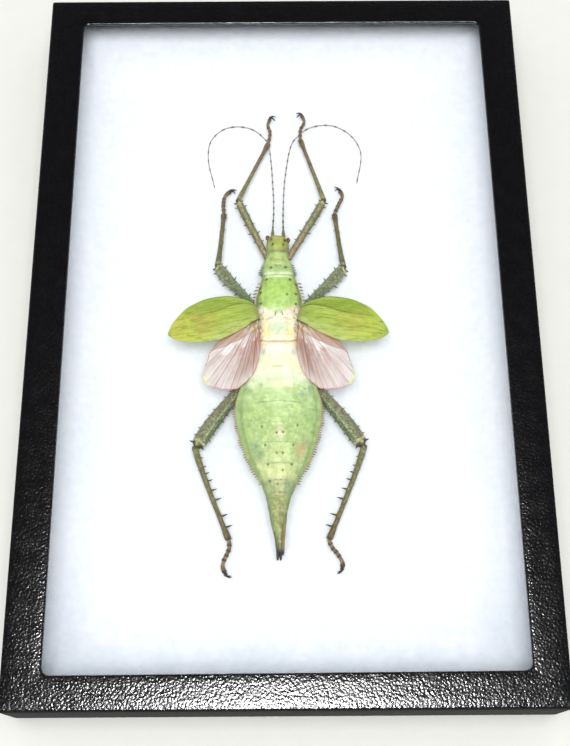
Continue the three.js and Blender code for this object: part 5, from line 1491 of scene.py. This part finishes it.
def fore_wing(name, side, root_y, tip_y):
    """The leathery fore wing: a leaf with raised veins that run nearly side by side to its tip."""
    axis = np.array([FORE_WING["tip"] - FORE_WING["root"], tip_y - root_y])
    span = np.linalg.norm(axis)
    axis = axis / span

    def place(along, across):
        share = along - 0.1 * np.sin(2 * math.pi * along)
        lead, trail = flowing(LEAF, share).T
        tip_round = np.sqrt(np.clip(1 - ((share - 0.93) / 0.07).clip(0, 1) ** 2, 0, 1)) * 0.6 + 0.4
        reach = np.where(across > 0, lead, trail) * tip_round
        off = across * reach
        x = FORE_WING["root"] + axis[0] * span * share - axis[1] * off
        y = root_y + axis[1] * span * share + axis[0] * off
        fan = ramp(share, -0.05, 0.45)
        vein = np.zeros(len(x))
        for k in range(-8, 10):
            lane = k / 9.5
            centre = lane * (0.45 + 0.55 * fan) - 0.05 * math.sin(k * 2.1) * share
            miss = (across - centre) * reach
            vein = np.maximum(vein, (0.55 + 0.25 * math.cos(k * 1.7)) * bell(miss, 0, 0.13))
        main_line = flowing(MAIN_VEIN, share)[:, 0]
        main = bell((across - main_line) * reach, 0, 0.24) * ramp(-share, -0.74, -0.45)
        lift = FORE_WING["camber"] * (1 - across**2) * np.sin(math.pi * share) - FORE_WING["droop"] * share
        flat_place = np.column_stack([x, y, np.zeros(len(x))])
        lift = lift + 0.1 * vein + 0.2 * main + 0.12 * rumple(flat_place, 11, 21 + side)
        z = FORE_WING["level"] + lift
        lead_part = ramp(across, main_line - 0.02, main_line + 0.06) * ramp(-share, -0.92, -0.6)
        stripe_place = np.column_stack([share * 9, off + 0.4 * np.sin(share * 5), 0 * share])
        stripes = rumple(stripe_place, 1.9, 33 + side)
        leaf_tints = [[0, "#B8C66C"], [0.15, "#AEC650"], [0.5, "#B8CE4E"], [0.8, "#D6DC52"], [1, "#EEE96A"]]
        tint = ramp_tint(leaf_tints, share)
        tint = over(tint, "#B8D650", (0.6 if side > 0 else 0) * ramp(share, 0.55, 0.9))
        tint = over(tint, "#8BAC30" if side < 0 else "#84A51C", 0.9 * lead_part)
        tint = over(tint, "#B0AE44", 0.6 * bell(share, 0.62, 0.2) * bell(across, 0.0, 0.35))
        tint = over(tint, "#C6CC86", 0.5 * ramp(-across, 0.2, 0.6) * bell(share, 0.3, 0.25))
        tan = bell(share, 0.68, 0.24) * bell(across, 0.05, 0.6) * (0.8 if side < 0 else 0.35)
        tint = over(tint, "#BFA650", tan * ramp(rumple(flat_place * 0.6, 6, 35), -0.5, 0.4))
        tint = over(tint, "#7E9634", 0.65 * ramp(stripes, 0.1, 0.6))
        tint = over(tint, "#D3DA8C", 0.4 * ramp(-stripes, 0.2, 0.8))
        brown_lines = rumple(np.column_stack([share * 4, off * 1.5, 0 * share]), 2.2, 36 + side)
        tint = over(tint, "#8F7B34",
                    0.5 * ramp(brown_lines, 0.35, 0.75) * ramp(share, 0.1, 0.3) * ramp(-share, -0.85, -0.6))
        tint = over(tint, "#A3B848", 0.35 * ramp(rumple(flat_place, 9, 31), 0.2, 0.9))
        tint = over(tint, "#74892E", 0.65 * vein)
        tint = over(tint, "#555C28", (0.95 if side > 0 else 0.65) * main)
        tint = over(tint, "#C3CF94", 0.6 * bell(across, 0.9, 0.03) * ramp(-share, -0.6, -0.3))
        tint = over(tint, "#86925A", 0.85 * ramp(across, 0.94, 0.98) * ramp(-share, -0.9, -0.6))
        tint = over(tint, "#8FA63A", 0.5 * ramp(-across, 0.95, 0.99))
        tint = over(tint, "#8E8A5C", 0.7 * ramp(-share, -0.06, 0.0))
        # Painted shade: a dark line along the trailing edge near the root stands for the shadowed gap at the
        # wing's root.
        tint = over(tint, "#44482E", 0.9 * ramp(-across, 0.84, 0.93) * ramp(-share, -0.17, -0.09))
        return np.column_stack([side * x, y, z]), tint, None

    piece = wing_sheet(f"wing_fore_{name}_tegmen", 200, 96, place, FORE_WING["thickness"])
    keep(piece, "fore_wing", [f"wing_fore_{name}"])


def past_fore_wing(x, y, root_y, tip_y):
    """How far a point lies behind the fore wing's trailing edge, on the wing's right-hand copy."""
    axis = np.array([FORE_WING["tip"] - FORE_WING["root"], tip_y - root_y])
    span = np.linalg.norm(axis)
    axis = axis / span
    share = ((x - FORE_WING["root"]) * axis[0] + (y - root_y) * axis[1]) / span
    off = (y - root_y) * axis[0] - (x - FORE_WING["root"]) * axis[1]
    return -off - flowing(LEAF, share)[:, 1]


def hind_wing(name, side, root_y, tip_y):
    """The hind wing: a fan of pleats whose thin dusky veins stand in a half-clear film."""
    root_x, wing_y = HIND_WING["root"]
    first, last = HIND_WING_RIM[0][0], HIND_WING_RIM[-1][0]
    folds = HIND_WING["pleats"] * 2

    def place(along, across):
        turn = along
        share = 0.06 + 0.94 * (across + 1) / 2
        degrees = first + (last - first) * turn
        scallop = 0.35 * np.abs(np.sin(folds * math.pi * turn))
        rim = flowing(HIND_WING_RIM, degrees)[:, 0] - scallop
        reach = rim * share
        angle = np.radians(degrees)
        x = root_x + reach * np.cos(angle)
        y = wing_y - reach * np.sin(angle)
        gap = math.radians(last - first)
        vein = np.zeros(len(x))
        for k in range(1, folds):
            strong = 0.75 + 0.25 * math.sin(k * 2.3 + side)
            lane = k / folds + 0.008 * math.sin(k * 2.7 + 4 * side)
            vein = np.maximum(vein, strong * bell((turn - lane) * gap * reach, 0, 0.18))
            fork = k / folds + 0.5 / folds * ramp(share, 0.35, 0.62)
            forked = bell((turn - fork) * gap * reach, 0, 0.14) * ramp(share, 0.36, 0.42)
            vein = np.maximum(vein, 0.8 * strong * forked)
        lane_index = np.floor(turn * folds)
        ladder = (reach / 2.1 + 0.37 * lane_index + 0.2 * np.sin(lane_index * 5.1)) % 1
        by_lane = 0.5 + 0.5 * np.sin(lane_index * 2.9)
        rungs = bell(ladder, 0.5, 0.06) * 0.35 * ramp(share, 0.15, 0.3) * by_lane
        vein = np.maximum(vein, rungs)
        lane_length = 1.4 * np.sin(lane_index * 1.9 + side)
        quarter = np.abs((turn * folds * 2) % 1 - 0.5) / (folds * 2) * gap * reach
        faint = bell(quarter, 0, 0.09) * ramp(share, 0.25, 0.5)
        pleat = -HIND_WING["pleat"] * np.cos(folds * math.pi * turn) * share
        level = HIND_WING["level"] - 2.2 * (1 - turn) * share + HIND_WING["inner_rise"] * turn * share
        z = level + pleat * 0.9 + 0.12 * vein
        flat_place = np.column_stack([x, y, np.zeros(len(x))])
        cloud = rumple(flat_place, 7, 41 + side)
        from_rim = (1 - share) * rim
        rays = rumple(np.column_stack([turn * 30, share * 2, 0 * share]), 2.6, 43 + side)
        inner = ramp(turn, 0.5, 0.85) * ramp(from_rim, 0.5, 8)
        behind = past_fore_wing(x, y, root_y, tip_y)
        lead = ramp(-behind, -3.5, -2.1) * ramp(reach, 6, 10)
        fine_rays = rumple(np.column_stack([turn * 30, share * 1.5, 0 * share]), 1.3, 45 + side)
        tint = np.tile(linear("#FFFBF6"), (len(x), 1))
        cloudy = ramp(cloud, -0.3, 0.5) * ramp(turn, 0.1, 0.5)
        tint = over(tint, "#E6C2B8", 0.7 * cloudy * (1 - 0.75 * ramp(share, 0.45, 0.85)))
        # Painted highlights: white streaks over the outer fan stand for light glancing off the pleats.
        tint = over(tint, "#FFFFFF",
                    0.7 * ramp(rays, 0.2, 0.6) * ramp(share, 0.3, 0.5) * ramp(-turn, -0.8, -0.5))
        tint = over(tint, "#8E775A", 0.95 * inner * (0.7 + 0.3 * ramp(-rays, -0.4, 0.3)))
        tint = over(tint, "#EFE2D2", 0.6 * inner * ramp(fine_rays, 0.05, 0.4))
        dusky_rays = ramp(-fine_rays, 0.1, 0.5) * ramp(share, 0.2, 0.4)
        tint = over(tint, "#DDB0A6", 0.4 * dusky_rays)
        tint = over(tint, "#B97C76", 0.75 * faint)
        tint = over(tint, "#96494A", 0.8 * vein)
        cells = ramp(behind, 3.1, 3.7) * ramp(-behind, -6.4 - lane_length, -5.6 - lane_length)
        cells = cells * bell(share, 0.52, 0.2)
        cells = cells * (0.75 + 0.25 * np.sin(lane_index * 2.4 + side)) * (1 - 0.95 * vein)
        tint = over(tint, "#FFFFFF", cells)
        tint = over(tint, "#BC957D", 0.85 * lead)
        tint = over(tint, "#8F6A5A",
                    0.5 * bell(behind, 3.1, 0.3) * ramp(reach, 6, 10) * ramp(from_rim, 0.5, 2))
        at_root = ramp(-reach, -9.5, -5)
        root_rough = ramp(rumple(flat_place, 2.2, 44), -0.1, 0.5)
        tint = over(tint, "#A98C68", 0.9 * at_root)
        tint = over(tint, "#EADBC0", 0.8 * at_root * root_rough)
        corner = bell(degrees, 52, 5.5)
        green_rim = ramp(-from_rim, -1.4, -0.5) * corner
        tint = over(tint, "#D2DA7C", 0.9 * green_rim)
        tint = over(tint, "#8A7A50", 0.8 * ramp(-from_rim, -0.7, -0.3) * ramp(-degrees, -49, -45))
        tint = over(tint, "#D98E94", 0.85 * ramp(-from_rim, -0.7, -0.25) * ramp(degrees, 56, 62))
        inner_rim = (1 - turn) * gap * reach
        tint = over(tint, "#D0806A", 0.8 * ramp(-inner_rim, -1.1, -0.5) * ramp(share, 0.4, 0.65))
        solid = 0.62 + 0.2 * inner + 0.3 * lead + 0.4 * vein + 0.3 * at_root
        solid = solid + 0.4 * green_rim + 0.4 * ramp(-from_rim, -0.7, -0.25) + 0.4 * cells
        return np.column_stack([side * x, y, z]), tint, np.clip(solid + 0.2 * faint, 0, 1)

    piece = wing_sheet(f"wing_hind_{name}_fan", 300, 120, place, HIND_WING["thickness"])
    keep(piece, "hind_wing", [f"wing_hind_{name}"])


for row in FORE_WINGS:
    fore_wing(*row)
    hind_wing(*row)

bpy.data.objects.remove(THORN)

# ---------------------------------------------------------------- floor, light and camera


def floor():
    clear_selection()
    bpy.ops.mesh.primitive_plane_add(size=6, location=(0, 0, -0.0002))
    plane = bpy.context.object
    plane.name = "floor"
    plane.data.materials.append(MATERIAL["floor"])
    plane.visible_glossy = False


def soft_light(name, place, target, size, watts):
    data = bpy.data.lights.new(name, "AREA")
    data.shape = "RECTANGLE"
    data.size, data.size_y = size
    data.energy = watts
    lamp = bpy.data.objects.new(name, data)
    bpy.context.collection.objects.link(lamp)
    lamp.location = place
    lamp.rotation_euler = (Vector(target) - Vector(place)).to_track_quat("-Z", "Y").to_euler()
    return lamp


def camera():
    data = bpy.data.cameras.new("camera")
    data.lens = 55.16
    data.sensor_width = 36
    eye = bpy.data.objects.new("camera", data)
    bpy.context.collection.objects.link(eye)
    eye.location = (-0.0003, -0.1843, 0.4535)
    eye.rotation_euler = [math.radians(turn) for turn in (20.56, 0.02, -0.36)]
    bpy.context.scene.camera = eye


floor()
overhead = soft_light("overhead", (-0.02, -0.4, 2.0), (0, 0, 0), (1.3, 1.3), 40)
overhead.visible_glossy = False
glint = soft_light("glint", (-0.005, -0.2, 0.7), (0, -0.17, 0), (0.1, 0.07), 4.3)
glint.visible_diffuse = False
camera()
world = bpy.data.worlds.new("studio")
world.use_nodes = True
sky = world.node_tree
mirrored = add(sky, "ShaderNodeLightPath").outputs["Is Glossy Ray"]
toward = add(sky, "ShaderNodeTexCoord").outputs["Generated"]
height = add(sky, "ShaderNodeSeparateXYZ", inputs={0: toward}).outputs["Z"]
dark_above = remap(sky, height, 0.1, 0.7, 0.5, 0.045)
mirror_light = times(sky, dark_above, remap(sky, height, -0.1, 0.02, 0.26, 1.0))
sky.nodes["Background"].inputs["Color"].default_value = (1, 1, 1, 1)
sky.links.new(remap(sky, mirrored, 0.0, 1.0, 0.62, mirror_light), sky.nodes["Background"].inputs["Strength"])
bpy.context.scene.world = world
bpy.context.scene.view_settings.view_transform = "Standard"
